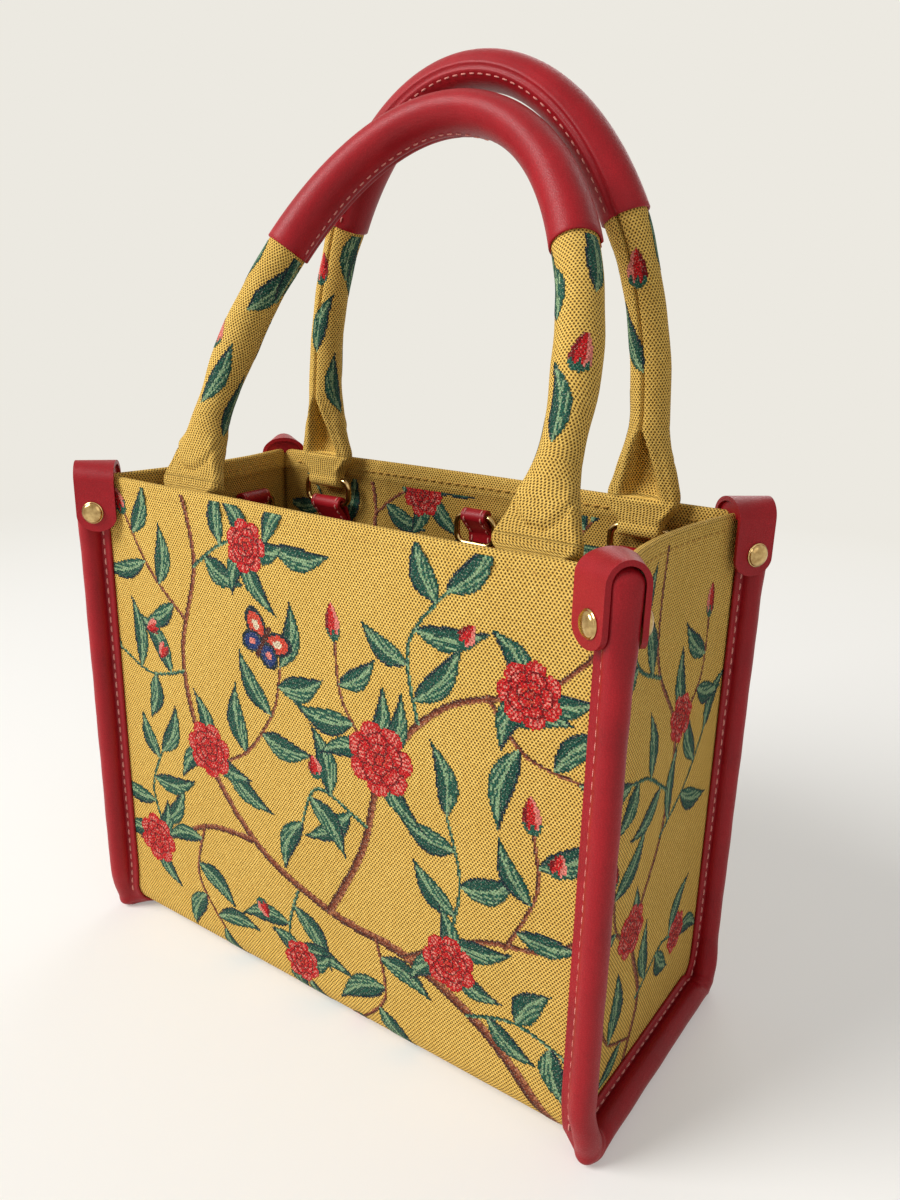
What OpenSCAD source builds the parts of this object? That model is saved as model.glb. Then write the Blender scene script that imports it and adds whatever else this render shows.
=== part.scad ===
// Small structured tote bag of tapestry cloth with leather bindings.
// X runs along the front panel, Y from front to back, Z up from the ground.

/* [Body] */
// Width of the body across the front panel, seam to seam
body_w = 226; // [190:1:280]
// Depth of the body from front panel to back panel
body_d = 104; // [101:1:130]
// Height of the rim above the ground
body_h = 200; // [180:1:250]
// Outer radius of the fold from the front and back panels into the bottom
fold_r = 13; // [12.5:0.5:20]
// Thickness of the woven outer cloth with its stiffener
cloth_t = 1.8; // [1.2:0.1:2.4]
// Thickness of the woven lining
lining_t = 1.2; // [0.8:0.1:1.6]
// Gap between layers that lie on each other
layer_gap = 0.15; // [0.05:0.05:0.25]
// How far each gusset bows inward at the middle of the rim
gusset_bow = 6; // [0:0.5:10]

/* [Leather binding] */
// Radius of the rolled leather edge along the seams
bead_r = 4.5; // [3.5:0.1:5]
// Thickness of the leather strip where it lies on the panels
wing_t = 1.3; // [0.8:0.1:1.8]
// Width of the flat strip beside the rolled edge
wing_flat = 4.5; // [3:0.25:5]
// Length of the run above the bottom fold over which the edge turns outward
turn_l = 10; // [4:1:30]

/* [Corner tabs] */
// Thickness of the leather of the corner tabs
tab_t = 1.7; // [1:0.1:2.5]
// Width of a corner tab along its fin
tab_w = 15.5; // [14:0.5:16]
// How far a corner tab stands back from the outer side of the rolled edge
tab_back = 0.8; // [0:0.1:1.2]
// Height of a corner tab from its fold to the end of its legs
tab_l = 27; // [24:0.5:40]
// Angle by which each leg of a tab spreads away from its fin
tab_splay = 13; // [12:0.5:16]
// Height of the fold of a tab above the top of the fin
tab_rise = 5.6; // [4.5:0.1:8]
// Height of the rounded end of a leg
tab_round = 6; // [3:0.5:8]

/* [Rivets] */
// Radius of the domed rivet cap
cap_r = 4.35; // [3:0.05:5]
// Height of the domed rivet cap
cap_h = 2.1; // [1.2:0.1:3]
// Radius of the rivet post
post_r = 1.1; // [1:0.1:1.4]
// Height of the rivet above the end of the legs
rivet_up = 7.6; // [6:0.2:12]

/* [Handles] */
// Radius of the stuffed cloth tube of a handle
tube_r = 8; // [7:0.1:9]
// Distance from the middle of the bag to the straight leg of a handle
handle_x = 77.5; // [60:0.1:88]
// Length of the straight leg of a handle above its ring
leg_l = 36.6; // [30:0.2:50]
// Height of the arch of a handle above its legs
arch_h = 122.3; // [90:0.1:140]
// How far each side of the tube is pressed in at the top of the arch, where it bends most
arch_press = 2.2; // [0:0.1:3]
// Widest width of the flat part of a handle end
strip_w = 26; // [22:0.5:30]
// Width of the fold of cloth round the ring
fold_w = 17; // [12:0.5:18]
// Thickness of the flat end of a handle
end_t = 5.6; // [5:0.1:6]
// Thickness of the cloth that is folded round the ring
fold_t = 1.8; // [1.2:0.1:2]
// Angle by which the front handle leans into the bag
front_lean = 25; // [20:0.1:25.3]
// Angle by which the back handle leans into the bag
rear_lean = 1; // [0:0.1:1.5]
// Thickness of the leather of the grip sleeve
grip_t = 0.9; // [0.6:0.1:1.3]
// Angle along the arch at which the grip sleeve starts and ends
grip_from = 35.5; // [20:0.5:60]

/* [Rings and loops] */
// Radius of the wire of all rings
wire_r = 1.3; // [1:0.05:1.4]
// Free width inside the rings of handles and strap
ring_w = 22; // [20:0.5:28]
// Distance between the two bars of a handle ring
ring_pitch = 11; // [10:0.5:16]
// Distance between the two bars of a strap ring
strap_pitch = 14; // [12:0.5:20]
// Free width inside the small middle ring
small_ring_w = 16; // [14:0.5:20]
// Distance between the two bars of the small middle ring
small_pitch = 12; // [11:0.5:18]
// Radius of the middle line of a ring's corner
ring_corner_r = 4.2; // [3:0.1:4.5]
// Running gap between a ring and what is folded round it
ring_gap = 0.2; // [0.1:0.05:0.3]
// Thickness of the leather of the loops
loop_t = 1.6; // [1.2:0.1:1.8]
// Width of the loops of handles and strap
loop_w = 16.5; // [12:0.5:17]
// Width of the small middle loop
small_loop_w = 11.5; // [8:0.5:12]
// Length of the loops of handles and strap below the ring
loop_l = 28; // [22:1:40]
// Length of the small middle loop below its ring
small_loop_l = 21; // [16:0.5:30]
// Distance of the ring's bar from the lining
loop_out = 4.95; // [4.7:0.05:5.5]
// Depth of the handle loops' bars below the rim
loop_down = 21; // [18:0.5:30]
// Depth of the strap loops' bars below the rim
strap_down = 18; // [12:0.5:50]
// Distance of the strap loops behind the middle of the gussets
strap_back = 19; // [0:0.5:24]
// Depth of the middle loop's bar below the rim
small_down = 16; // [10:0.5:40]
// Distance of the middle loop to the right of the bag's middle
small_right = 4; // [0:1:20]

/* [Hidden] */
// Overrun of every cut past the face that it opens
cut = 1;
// Sides of swept sections, steps along curves, and facets of round wire
tube_sides = 16;
bead_steps = 16;
turn_steps = 3;
fold_steps = 7;
arch_steps = 36;
grip_steps = 26;
saddle_steps = 10;
tab_steps = 9;
gusset_columns = 10;
gusset_rows = 7;
round_fn = 48;

// The strip under the bottom edge lifts the body off the ground by its thickness
wing_out = layer_gap + wing_t;
lift = wing_out;
half_w = body_w / 2;
half_d = body_d / 2;
// Depth of each layer below the outer face
lining_off = cloth_t + layer_gap;
inner_off = lining_off + lining_t;
// Half depth of the space inside the lining, and of a gusset between the panels
inner_half_d = half_d - inner_off;
gusset_half_d = half_d - lining_off;

// The fin stands out halfway between the two panels that it joins
fin_angle = 45;
// The bead only just touches the corner edge of the panels
bead_out = bead_r + layer_gap;
// Smallest radius left to the strip's edge in the bottom fold
wing_min_r = 1;
// The fin ends below the rim by a share of the tab's fold
fin_drop_share = 0.35;
fin_top = body_h - tab_rise * fin_drop_share;

// Layout of a corner tab, along its fin from the body's corner outward
tab_gap = 0.35;
tab_out = bead_out + bead_r - tab_back;
tab_mid = tab_out - tab_w / 2;
tab_spring = fin_top + layer_gap;
tab_end = tab_spring + tab_rise + tab_t - tab_l;
tab_skin = tab_t / cos(tab_splay);
// The post passes outside the corner edge of the panels
post_gap = 0.1;
rivet_margin = 0.7;
rivet_s = post_r + rivet_margin;
rivet_z = tab_end + rivet_up;
// Shoulder of the domed cap as a share of its height
cap_rim_share = 0.25;

// Fold of cloth round a ring, and the eye of a leather loop
bore_r = wire_r + ring_gap;
fold_out_r = bore_r + fold_t;
loop_out_r = bore_r + loop_t;
loop_front = loop_out - layer_gap - loop_t - loop_t;
loop_back = loop_out - layer_gap;
// Heights below the bar at which the two layers of a loop come to lie on the lining, as
// shares of the bar's distance from it
loop_drop_share = 1.7;
loop_seat_share = 1.25;
loop_drop_h = loop_out * loop_drop_share;
loop_seat_h = loop_out * loop_seat_share;

// Pivots of the handles are the lower bars of their rings
pivot_y = inner_half_d - loop_out;
pivot_z = body_h - loop_down;
// The end of a handle is folded round its ring: places below and above the bar, as
// shares of the fold's radius
eye_shares = [-0.97, -0.8, -0.4, 0.1, 0.6];
// Above the fold the handle widens, its seam opens and it turns round: place along the
// leg, share of the way from tube to strip width, share of the way from flat to round,
// how far the seam has opened, and how square the section still is
flare_shares = [
    [0.14, 0.4, 0, 0, 0.9], [0.24, 0.8, 0, 0, 0.7], [0.32, 0.95, 0.05, 0, 0.5], [0.38, 1, 0.1, 0.8, 0.4],
    [0.6, 0.72, 0.42, 0.7, 0.15], [0.8, 0.3, 0.78, 0.4, 0], [1, 0, 1, 0, 0]
];
// The opening starts at this share of the section's half thickness
slit_edge_share = 0.4;
// Power of the sine and cosine that draw a fully square section
square_power = 0.4;
grip_in_r = tube_r + layer_gap;

cloth_color = [0.72, 0.52, 0.13];
lining_color = [0.6, 0.43, 0.12];
leather_color = [0.66, 0.06, 0.08];
gold_color = [0.85, 0.68, 0.36];

// Helpers

function lerp(from, to, share) = from + (to - from) * share;
function smooth(share) = share * share * (3 - 2 * share);

// Solid through closed rings of equal length, closed by flat ends; where a ring runs
// out along one face and back along the other, its ends are closed from face to face
module loft(rings, two_faced = false) {
    n = len(rings[0]);
    last = (len(rings) - 1) * n;
    sides = [
        for (j = [0 : len(rings) - 2], i = [0 : n - 1])
            let (k = (i + 1) % n, low = j * n, high = low + n)
            each [[low + i, low + k, high + k], [low + i, high + k, high + i]]
    ];
    strips = [for (i = [0 : n / 2 - 2]) each [[i, n - 1 - i, i + 1], [i + 1, n - 1 - i, n - 2 - i]]];
    bottom = two_faced ? strips : [[for (i = [n - 1 : -1 : 0]) i]];
    top = two_faced
        ? [for (f = strips) [last + f[0], last + f[2], last + f[1]]]
        : [[for (i = [0 : n - 1]) last + i]];
    polyhedron(points = [for (ring = rings) each ring], faces = concat(sides, bottom, top), convexity = 6);
}

// Solid between two sets of rings, such as a sleeve, with ring shaped ends
module sleeve(outer, inner) {
    n = len(outer[0]);
    rows = len(outer);
    inside = n * rows;
    last = (rows - 1) * n;
    walls = [
        for (j = [0 : rows - 2], i = [0 : n - 1])
            let (k = (i + 1) % n, low = j * n, high = low + n)
            each [
                [low + i, low + k, high + k], [low + i, high + k, high + i],
                [inside + low + i, inside + high + k, inside + low + k],
                [inside + low + i, inside + high + i, inside + high + k]
            ]
    ];
    ends = [
        for (i = [0 : n - 1])
            let (k = (i + 1) % n)
            each [
                [i, inside + k, k], [i, inside + i, inside + k],
                [last + i, last + k, inside + last + k], [last + i, inside + last + k, inside + last + i]
            ]
    ];
    all_points = concat([for (ring = outer) each ring], [for (ring = inner) each ring]);
    polyhedron(points = all_points, faces = concat(walls, ends), convexity = 6);
}

// Sets a shape drawn in Y and Z along X
module along_x(length) {
    rotate([90, 0, 90]) linear_extrude(height = length, center = true) children();
}

// Body shells

// Section of everything inside the layer at depth off, up to the height top
module body_section(off, top) {
    flat_half = half_d - fold_r;
    for (side = [-1, 1])
        translate([side * flat_half, lift + fold_r]) circle(r = fold_r - off, $fn = round_fn);
    translate([-flat_half, lift + off]) square([flat_half * 2, fold_r]);
    translate([-(half_d - off), lift + fold_r]) square([(half_d - off) * 2, top - lift - fold_r]);
}

// Front, bottom and back in one folded sheet, open at the rim
module folded_sheet(off, thickness, length) {
    along_x(length) difference() {
        body_section(off, body_h);
        body_section(off + thickness, body_h + cut);
    }
}

// Inward bow of a side at depth place y and height z
function bow(y, z) =
    let (up = (z - lift) / (body_h - lift), across = y / gusset_half_d)
    gusset_bow * up * up * max(0, 1 - across * across);

// Half depth of a side sheet that lies inside the folded sheet at depth off
function side_half(off, z) =
    let (above = z - lift, r = fold_r - off, drop = min(r, max(0, fold_r - above)))
    half_d - fold_r + sqrt(r * r - drop * drop);

// Side sheet with its outer face at depth off and its edges inside depth edge
module side_sheet(off, edge, thickness) {
    r = fold_r - edge;
    heights = concat(
        [for (i = [0 : fold_steps]) lift + fold_r - r * cos(90 * i / fold_steps)],
        [for (i = [1 : gusset_rows]) lerp(lift + fold_r, body_h, i / gusset_rows)]
    );
    loft([
        for (z = heights)
            let (half = side_half(edge, z))
            concat(
                [for (i = [0 : gusset_columns])
                    let (y = lerp(-half, half, i / gusset_columns)) [half_w - off - bow(y, z), y, z]],
                [for (i = [gusset_columns : -1 : 0])
                    let (y = lerp(-half, half, i / gusset_columns))
                    [half_w - off - thickness - bow(y, z), y, z]]
            )
    ], two_faced = true);
}

module main_panel() { color(cloth_color) folded_sheet(0, cloth_t, body_w); }

module gusset_right() { color(cloth_color) side_sheet(0, lining_off, cloth_t); }

module gusset_left() { color(cloth_color) mirror([1, 0, 0]) side_sheet(0, lining_off, cloth_t); }

// The folded lining ends short of the gussets where they bow most along its edge
module lining_body() {
    end_off = lining_off + bow(inner_half_d, body_h);
    color(lining_color) folded_sheet(lining_off, lining_t, body_w - end_off * 2);
}

module lining_right() {
    color(lining_color) side_sheet(lining_off, inner_off + layer_gap, lining_t);
}

module lining_left() {
    color(lining_color) mirror([1, 0, 0]) side_sheet(lining_off, inner_off + layer_gap, lining_t);
}

// Leather binding of a gusset

// Middle of the bead, out from the gusset and out from the folded sheet,
// for a turn of 0 on the upright seams and 1 under the bottom
function bead_middle(turn) = turn < 0.5
    ? bead_out * [cos(fin_angle * (1 - 2 * turn)), sin(fin_angle * (1 - 2 * turn))]
    : [bead_out, lerp(0, wing_out - bead_r, 2 * turn - 1)];

// Outline of the strip: the bead, and a wing that lies on each of the two sheets
function binding_outline(turn) =
    let (
        middle = bead_middle(turn),
        start = acos((middle.x - wing_out) / bead_r) - 180,
        end = 180 - asin((wing_out - middle.y) / bead_r),
        gusset_crease = middle.y + bead_r * sin(start),
        panel_crease = middle.x + bead_r * cos(end),
        gusset_tip = max(min(gusset_crease, 0) - wing_flat, wing_min_r - fold_r),
        panel_tip = min(panel_crease, 0) - wing_flat
    )
    concat(
        [for (i = [0 : bead_steps])
            let (a = lerp(start, end, i / bead_steps)) middle + bead_r * [cos(a), sin(a)]],
        [[panel_tip, wing_out], [panel_tip, layer_gap], [layer_gap, layer_gap],
         [layer_gap, gusset_tip], [wing_out, gusset_tip]]
    );

// Ring of the strip at a place on the seam, given by its foot, its outward normal and its turn
function binding_ring(foot, normal, turn) = [
    for (p = binding_outline(turn)) [half_w + p.x, foot.x + p.y * normal.x, foot.y + p.y * normal.y]
];

// Rings from the top of the front seam to the middle of the bottom
function half_binding_rings() =
    let (
        turn_total = turn_l + fold_r * PI / 2,
        centre = [fold_r - half_d, lift + fold_r]
    )
    concat(
        [binding_ring([-half_d, fin_top], [-1, 0], 0)],
        [for (i = [0 : turn_steps - 1])
            let (gone = turn_l * i / turn_steps)
            binding_ring([-half_d, lift + fold_r + turn_l - gone], [-1, 0], smooth(gone / turn_total))],
        [for (i = [0 : fold_steps])
            let (a = 90 * i / fold_steps, normal = [-cos(a), -sin(a)])
            binding_ring(centre + fold_r * normal, normal,
                smooth((turn_l + fold_r * PI / 2 * i / fold_steps) / turn_total))]
    );

// The strip along the seam of the right gusset, from the front rim round the bottom to the back rim
module binding_strip() {
    front = half_binding_rings();
    back = [
        for (i = [len(front) - 1 : -1 : 0]) [for (p = front[i]) [p.x, -p.y, p.z]]
    ];
    difference() {
        loft(concat(front, back));
        for (side = [-1, 1])
            at_corner(1, side) translate([rivet_s, 0, rivet_z]) rotate([90, 0, 0])
                cylinder(r = post_r + post_gap, h = tab_l, center = true, $fn = round_fn);
    }
}

module binding_right() { color(leather_color) binding_strip(); }

module binding_left() { color(leather_color) mirror([1, 0, 0]) binding_strip(); }

// Corner tabs and their rivets, drawn with X along the fin

module at_corner(side_x, side_y) {
    translate([side_x * half_w, side_y * half_d, 0]) rotate([0, 0, atan2(side_y, side_x)]) children();
}

// Half the gap between the legs at the place s along the fin
function tab_half(s) = bead_r + tab_gap + (tab_out - s) * tan(tab_splay);

function tab_ring(s, end_z) =
    let (inner = tab_half(s), outer = inner + tab_skin, top = tab_rise + tab_t)
    concat(
        [[s, outer, end_z]],
        [for (i = [0 : saddle_steps])
            let (a = 180 * i / saddle_steps) [s, outer * cos(a), tab_spring + top * sin(a)]],
        [[s, -outer, end_z], [s, -inner, end_z]],
        [for (i = [saddle_steps : -1 : 0])
            let (a = 180 * i / saddle_steps) [s, inner * cos(a), tab_spring + tab_rise * sin(a)]],
        [[s, inner, end_z]]
    );

module corner_tab() {
    color(leather_color) difference() {
        loft([
            for (i = [0 : tab_steps])
                let (a = 180 * i / tab_steps - 90)
                tab_ring(tab_mid + sin(a) * tab_w / 2, tab_end + tab_round * (1 - cos(a)))
        ], two_faced = true);
        translate([rivet_s, 0, rivet_z]) rotate([90, 0, 0])
            cylinder(r = post_r + post_gap, h = tab_l, center = true, $fn = round_fn);
    }
}

// Domed cap with its flat side at the origin
module rivet_cap() {
    rim_h = cap_h * cap_rim_share;
    dome_h = cap_h - rim_h;
    dome_r = (cap_r * cap_r + dome_h * dome_h) / (2 * dome_h);
    cylinder(r = cap_r, h = rim_h, $fn = round_fn);
    intersection() {
        translate([0, 0, rim_h]) cylinder(r = cap_r, h = dome_h, $fn = round_fn);
        translate([0, 0, cap_h - dome_r]) sphere(r = dome_r, $fn = round_fn);
    }
}

module rivet() {
    cap_y = tab_half(rivet_s) + tab_skin;
    color(gold_color) translate([rivet_s, 0, rivet_z]) {
        rotate([90, 0, 0]) cylinder(r = post_r, h = cap_y * 2, center = true, $fn = round_fn);
        for (side = [-1, 1])
            translate([0, side * cap_y, 0]) rotate([-90 * side, 0, -tab_splay * side]) rivet_cap();
    }
}

module corner_tab_front_left() { at_corner(-1, -1) corner_tab(); }
module corner_tab_front_right() { at_corner(1, -1) corner_tab(); }
module corner_tab_rear_left() { at_corner(-1, 1) corner_tab(); }
module corner_tab_rear_right() { at_corner(1, 1) corner_tab(); }
module rivet_front_left() { at_corner(-1, -1) rivet(); }
module rivet_front_right() { at_corner(1, -1) rivet(); }
module rivet_rear_left() { at_corner(-1, 1) rivet(); }
module rivet_rear_right() { at_corner(1, 1) rivet(); }

// Rings and leather loops, drawn with the bar along X

// Ring of round wire that hangs by its upper bar at the origin
module wire_ring(free_w, pitch) {
    side_x = free_w / 2 + wire_r;
    bar_half = side_x - ring_corner_r;
    post = pitch - ring_corner_r * 2;
    color(gold_color) {
        for (z = [0, -pitch])
            translate([0, 0, z]) rotate([0, 90, 0])
                cylinder(r = wire_r, h = bar_half * 2, center = true, $fn = round_fn);
        for (side = [-1, 1])
            translate([side * side_x, 0, -pitch / 2])
                cylinder(r = wire_r, h = post, center = true, $fn = round_fn);
        for (turn = [0 : 3])
            translate([(turn == 0 || turn == 3 ? 1 : -1) * bar_half, 0,
                turn < 2 ? -ring_corner_r : ring_corner_r - pitch])
                rotate([90, 0, 0]) rotate([0, 0, 90 * turn])
                    rotate_extrude(angle = 90, $fn = round_fn)
                        translate([ring_corner_r, 0]) circle(r = wire_r, $fn = round_fn);
    }
}

// Leather strip folded over a bar at the origin and sewn down on the lining towards +Y
module leather_loop(width, length) {
    color(leather_color) difference() {
        union() {
            rotate([0, 90, 0]) cylinder(r = loop_out_r, h = width, center = true, $fn = round_fn);
            along_x(width) polygon([
                [layer_gap - loop_out_r, 0], [loop_out_r - layer_gap, 0],
                [loop_back, -loop_seat_h], [loop_back, -length],
                [loop_front, -length], [loop_front, -loop_drop_h]
            ]);
        }
        rotate([0, 90, 0]) cylinder(r = bore_r, h = width + cut, center = true, $fn = round_fn);
    }
}

module handle_loop(side_x, side_y) {
    translate([side_x * handle_x, side_y * pivot_y, pivot_z])
        rotate([0, 0, side_y > 0 ? 0 : 180]) leather_loop(loop_w, loop_l);
}

module handle_loop_front_left() { handle_loop(-1, -1); }
module handle_loop_front_right() { handle_loop(1, -1); }
module handle_loop_rear_left() { handle_loop(-1, 1); }
module handle_loop_rear_right() { handle_loop(1, 1); }

// The strap loops follow the slope of the bowed lining behind them
strap_z = body_h - strap_down;
strap_seat_z = strap_z - loop_l / 2;
strap_up = (strap_seat_z - lift) / (body_h - lift);
strap_across = strap_back / gusset_half_d;
strap_slope = atan(2 * gusset_bow * strap_up * (1 - strap_across * strap_across) / (body_h - lift));
strap_yaw = atan(2 * gusset_bow * strap_up * strap_up * strap_across / gusset_half_d);
strap_seat_x = half_w - inner_off - bow(strap_back, strap_seat_z);
// The bar lies off the seat along the lining and out from it
strap_x = strap_seat_x - sin(strap_slope) * loop_l / 2 - cos(strap_slope) * loop_out;
strap_bar_z = strap_seat_z + cos(strap_slope) * loop_l / 2 - sin(strap_slope) * loop_out;

module on_gusset(side) {
    mirror([side > 0 ? 0 : 1, 0, 0]) translate([strap_x, strap_back, strap_bar_z])
        rotate([0, 0, -strap_yaw]) children();
}

module strap_loop(side) {
    on_gusset(side) rotate([0, -strap_slope, 0]) rotate([0, 0, -90]) leather_loop(loop_w, loop_l);
}

module strap_ring(side) { on_gusset(side) rotate([0, 0, -90]) wire_ring(ring_w, strap_pitch); }

module strap_loop_left() { strap_loop(-1); }
module strap_loop_right() { strap_loop(1); }
module strap_ring_left() { strap_ring(-1); }
module strap_ring_right() { strap_ring(1); }

module at_middle() { translate([small_right, pivot_y, body_h - small_down]) children(); }

module middle_loop() { at_middle() leather_loop(small_loop_w, small_loop_l); }
module middle_ring() { at_middle() wire_ring(small_ring_w, small_pitch); }

// Handles, drawn upright with the pivot bar at the origin

// Places along a handle: middle x and height, outward direction, half width,
// half thickness, opening of the seam and squareness of the section
function leg_stations(side) = concat(
    [for (k = eye_shares)
        [[side * handle_x, ring_pitch + fold_out_r * k], [side, 0],
         fold_w / 2, fold_out_r * sqrt(1 - k * k), 0, 1]],
    [for (f = flare_shares)
        [[side * handle_x, ring_pitch + leg_l * f[0]], [side, 0],
         lerp(tube_r, strip_w / 2, f[1]), lerp(end_t / 2, tube_r, f[2]), f[3], f[4]]]
);

function arch_station(angle, r) =
    let (
        out = [-arch_h * cos(angle), handle_x * sin(angle)],
        middle = [-handle_x * cos(angle), ring_pitch + leg_l + arch_h * sin(angle)]
    )
    [middle, out / norm(out), r - arch_press * pow(sin(angle), 3), r, 0, 0];

// Share of the thickness that an opened seam leaves at the height up on its side
function slit_left(up, opening) =
    1 - opening * smooth(min(1, max(0, (up - slit_edge_share) / (1 - slit_edge_share))));

// Sine or cosine, drawn out towards a square
function squared(value, squareness) = sign(value) * pow(abs(value), lerp(1, square_power, squareness));

// Section of a handle whose seam lies on the side inner
function station_ring(station, inner) = [
    for (i = [0 : tube_sides - 1])
        let (
            a = 360 * i / tube_sides,
            place = station[0] + station[1] * station[2] * squared(cos(a), station[5]),
            depth = station[3] * slit_left(-inner * sin(a), station[4])
        )
        [place.x, -depth * squared(sin(a), station[5]), place.y]
];

function mirrored(list) = [for (i = [len(list) - 1 : -1 : 0]) list[i]];

// Cloth tube with its ends folded round the rings; the seam opens towards the side inner
module handle_tube(inner) {
    arch = [for (i = [1 : arch_steps - 1]) arch_station(180 * i / arch_steps, tube_r)];
    stations = concat(leg_stations(-1), arch, mirrored(leg_stations(1)));
    color(cloth_color) difference() {
        loft([for (s = stations) station_ring(s, inner)]);
        for (side = [-1, 1])
            translate([side * handle_x, 0, ring_pitch]) rotate([0, 90, 0])
                cylinder(r = bore_r, h = strip_w + cut, center = true, $fn = round_fn);
    }
}

// Leather sleeve round the arch
module grip_sleeve() {
    angles = [for (i = [0 : grip_steps]) lerp(grip_from, 180 - grip_from, i / grip_steps)];
    color(leather_color) sleeve(
        [for (a = angles) station_ring(arch_station(a, grip_in_r + grip_t), 0)],
        [for (a = angles) station_ring(arch_station(a, grip_in_r), 0)]
    );
}

module handle_ring(side) {
    translate([side * handle_x, 0, ring_pitch]) wire_ring(ring_w, ring_pitch);
}

// Sets a handle's pieces on its pivots and leans them
module at_front() { translate([0, -pivot_y, pivot_z]) rotate([-front_lean, 0, 0]) children(); }
module at_rear() { translate([0, pivot_y, pivot_z]) rotate([rear_lean, 0, 0]) children(); }

module front_handle() { at_front() handle_tube(1); }
module front_grip() { at_front() grip_sleeve(); }
module rear_handle() { at_rear() handle_tube(-1); }
module rear_grip() { at_rear() grip_sleeve(); }
module handle_ring_front_left() { at_front() handle_ring(-1); }
module handle_ring_front_right() { at_front() handle_ring(1); }
module handle_ring_rear_left() { at_rear() handle_ring(-1); }
module handle_ring_rear_right() { at_rear() handle_ring(1); }

main_panel();
gusset_left();
gusset_right();
lining_body();
lining_left();
lining_right();
binding_left();
binding_right();
corner_tab_front_left();
corner_tab_front_right();
corner_tab_rear_left();
corner_tab_rear_right();
rivet_front_left();
rivet_front_right();
rivet_rear_left();
rivet_rear_right();
front_handle();
front_grip();
rear_handle();
rear_grip();
handle_ring_front_left();
handle_ring_front_right();
handle_ring_rear_left();
handle_ring_rear_right();
handle_loop_front_left();
handle_loop_front_right();
handle_loop_rear_left();
handle_loop_rear_right();
strap_loop_left();
strap_loop_right();
strap_ring_left();
strap_ring_right();
middle_loop();
middle_ring();
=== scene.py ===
"""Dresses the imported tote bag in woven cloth, leather and gold. Lengths are in millimetres until a mesh is made."""
import math

import bmesh
import bpy
import numpy as np
from mathutils import Matrix, Vector


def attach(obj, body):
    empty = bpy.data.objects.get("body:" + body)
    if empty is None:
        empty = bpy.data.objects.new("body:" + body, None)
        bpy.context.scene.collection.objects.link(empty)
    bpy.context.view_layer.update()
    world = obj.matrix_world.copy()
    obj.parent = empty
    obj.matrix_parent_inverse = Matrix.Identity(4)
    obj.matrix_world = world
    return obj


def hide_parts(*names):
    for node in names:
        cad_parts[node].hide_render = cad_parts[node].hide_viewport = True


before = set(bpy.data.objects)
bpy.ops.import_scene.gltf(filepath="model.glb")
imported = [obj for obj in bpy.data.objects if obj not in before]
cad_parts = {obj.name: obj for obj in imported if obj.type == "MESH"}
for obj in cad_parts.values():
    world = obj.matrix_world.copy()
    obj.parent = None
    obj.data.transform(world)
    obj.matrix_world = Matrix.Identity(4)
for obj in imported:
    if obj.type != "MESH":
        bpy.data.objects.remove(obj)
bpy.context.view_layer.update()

MM = 0.001
PI = math.pi

# Sizes of the CAD model
HALF_W, HALF_D, BODY_H, FOLD_R = 113.0, 52.0, 200.0, 13.0
CLOTH_T, LINING_T, LAYER_GAP, GUSSET_BOW = 1.8, 1.2, 0.15, 6.0
BEAD_R, WING_T, WING_FLAT, WING_MIN_R, TURN_L = 4.5, 1.3, 4.5, 1.0, 10.0
TAB_T, TAB_W, TAB_BACK, TAB_L, TAB_GAP = 1.7, 15.5, 0.8, 27.0, 0.35
TAB_SPLAY, TAB_RISE, TAB_ROUND, FIN_DROP = math.radians(13), 5.6, 6.0, 0.35
CAP_R, CAP_H, CAP_RIM, POST_R, RIVET_UP, RIVET_MARGIN = 4.35, 2.1, 0.25, 1.1, 7.6, 0.7
TUBE_R, HANDLE_X, LEG_L, ARCH_H, ARCH_PRESS = 8.0, 77.5, 36.6, 122.3, 2.2
STRIP_W, FOLD_W, END_T, FOLD_T = 26.0, 17.0, 5.6, 1.8
FRONT_LEAN, REAR_LEAN = math.radians(-25), math.radians(1)
GRIP_T, GRIP_FROM = 0.9, math.radians(35.5)
WIRE_R, RING_CORNER_R, RING_GAP = 1.3, 4.2, 0.2
RING_W, RING_PITCH, STRAP_PITCH, SMALL_RING_W, SMALL_PITCH = 22.0, 11.0, 14.0, 16.0, 12.0
LOOP_T, LOOP_W, SMALL_LOOP_W, LOOP_L, SMALL_LOOP_L = 1.6, 16.5, 11.5, 28.0, 21.0
LOOP_OUT, LOOP_DOWN, STRAP_DOWN, STRAP_BACK = 4.95, 21.0, 18.0, 19.0
SMALL_DOWN, SMALL_RIGHT = 16.0, 4.0

LIFT = WING_OUT = LAYER_GAP + WING_T
LINING_OFF = CLOTH_T + LAYER_GAP
INNER_OFF = LINING_OFF + LINING_T
INNER_HALF_D, GUSSET_HALF_D = HALF_D - INNER_OFF, HALF_D - LINING_OFF
BEAD_OUT = BEAD_R + LAYER_GAP
FIN_TOP = BODY_H - TAB_RISE * FIN_DROP
TAB_OUT = BEAD_OUT + BEAD_R - TAB_BACK
TAB_MID = TAB_OUT - TAB_W / 2
TAB_SPRING = FIN_TOP + LAYER_GAP
TAB_END = TAB_SPRING + TAB_RISE + TAB_T - TAB_L
TAB_SKIN = TAB_T / math.cos(TAB_SPLAY)
RIVET_S, RIVET_Z = POST_R + RIVET_MARGIN, TAB_END + RIVET_UP
BORE_R = WIRE_R + RING_GAP
FOLD_OUT_R = BORE_R + FOLD_T
PIVOT_Y, PIVOT_Z = INNER_HALF_D - LOOP_OUT, BODY_H - LOOP_DOWN

# Lengths along the folded panel, from the front rim down, under the bottom and up to the back rim
FLAT_HALF = HALF_D - FOLD_R
ARC_L = FOLD_R * PI / 2
SIDE_L = BODY_H - LIFT - FOLD_R
PANEL_L = 2 * (SIDE_L + ARC_L + FLAT_HALF)

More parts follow.
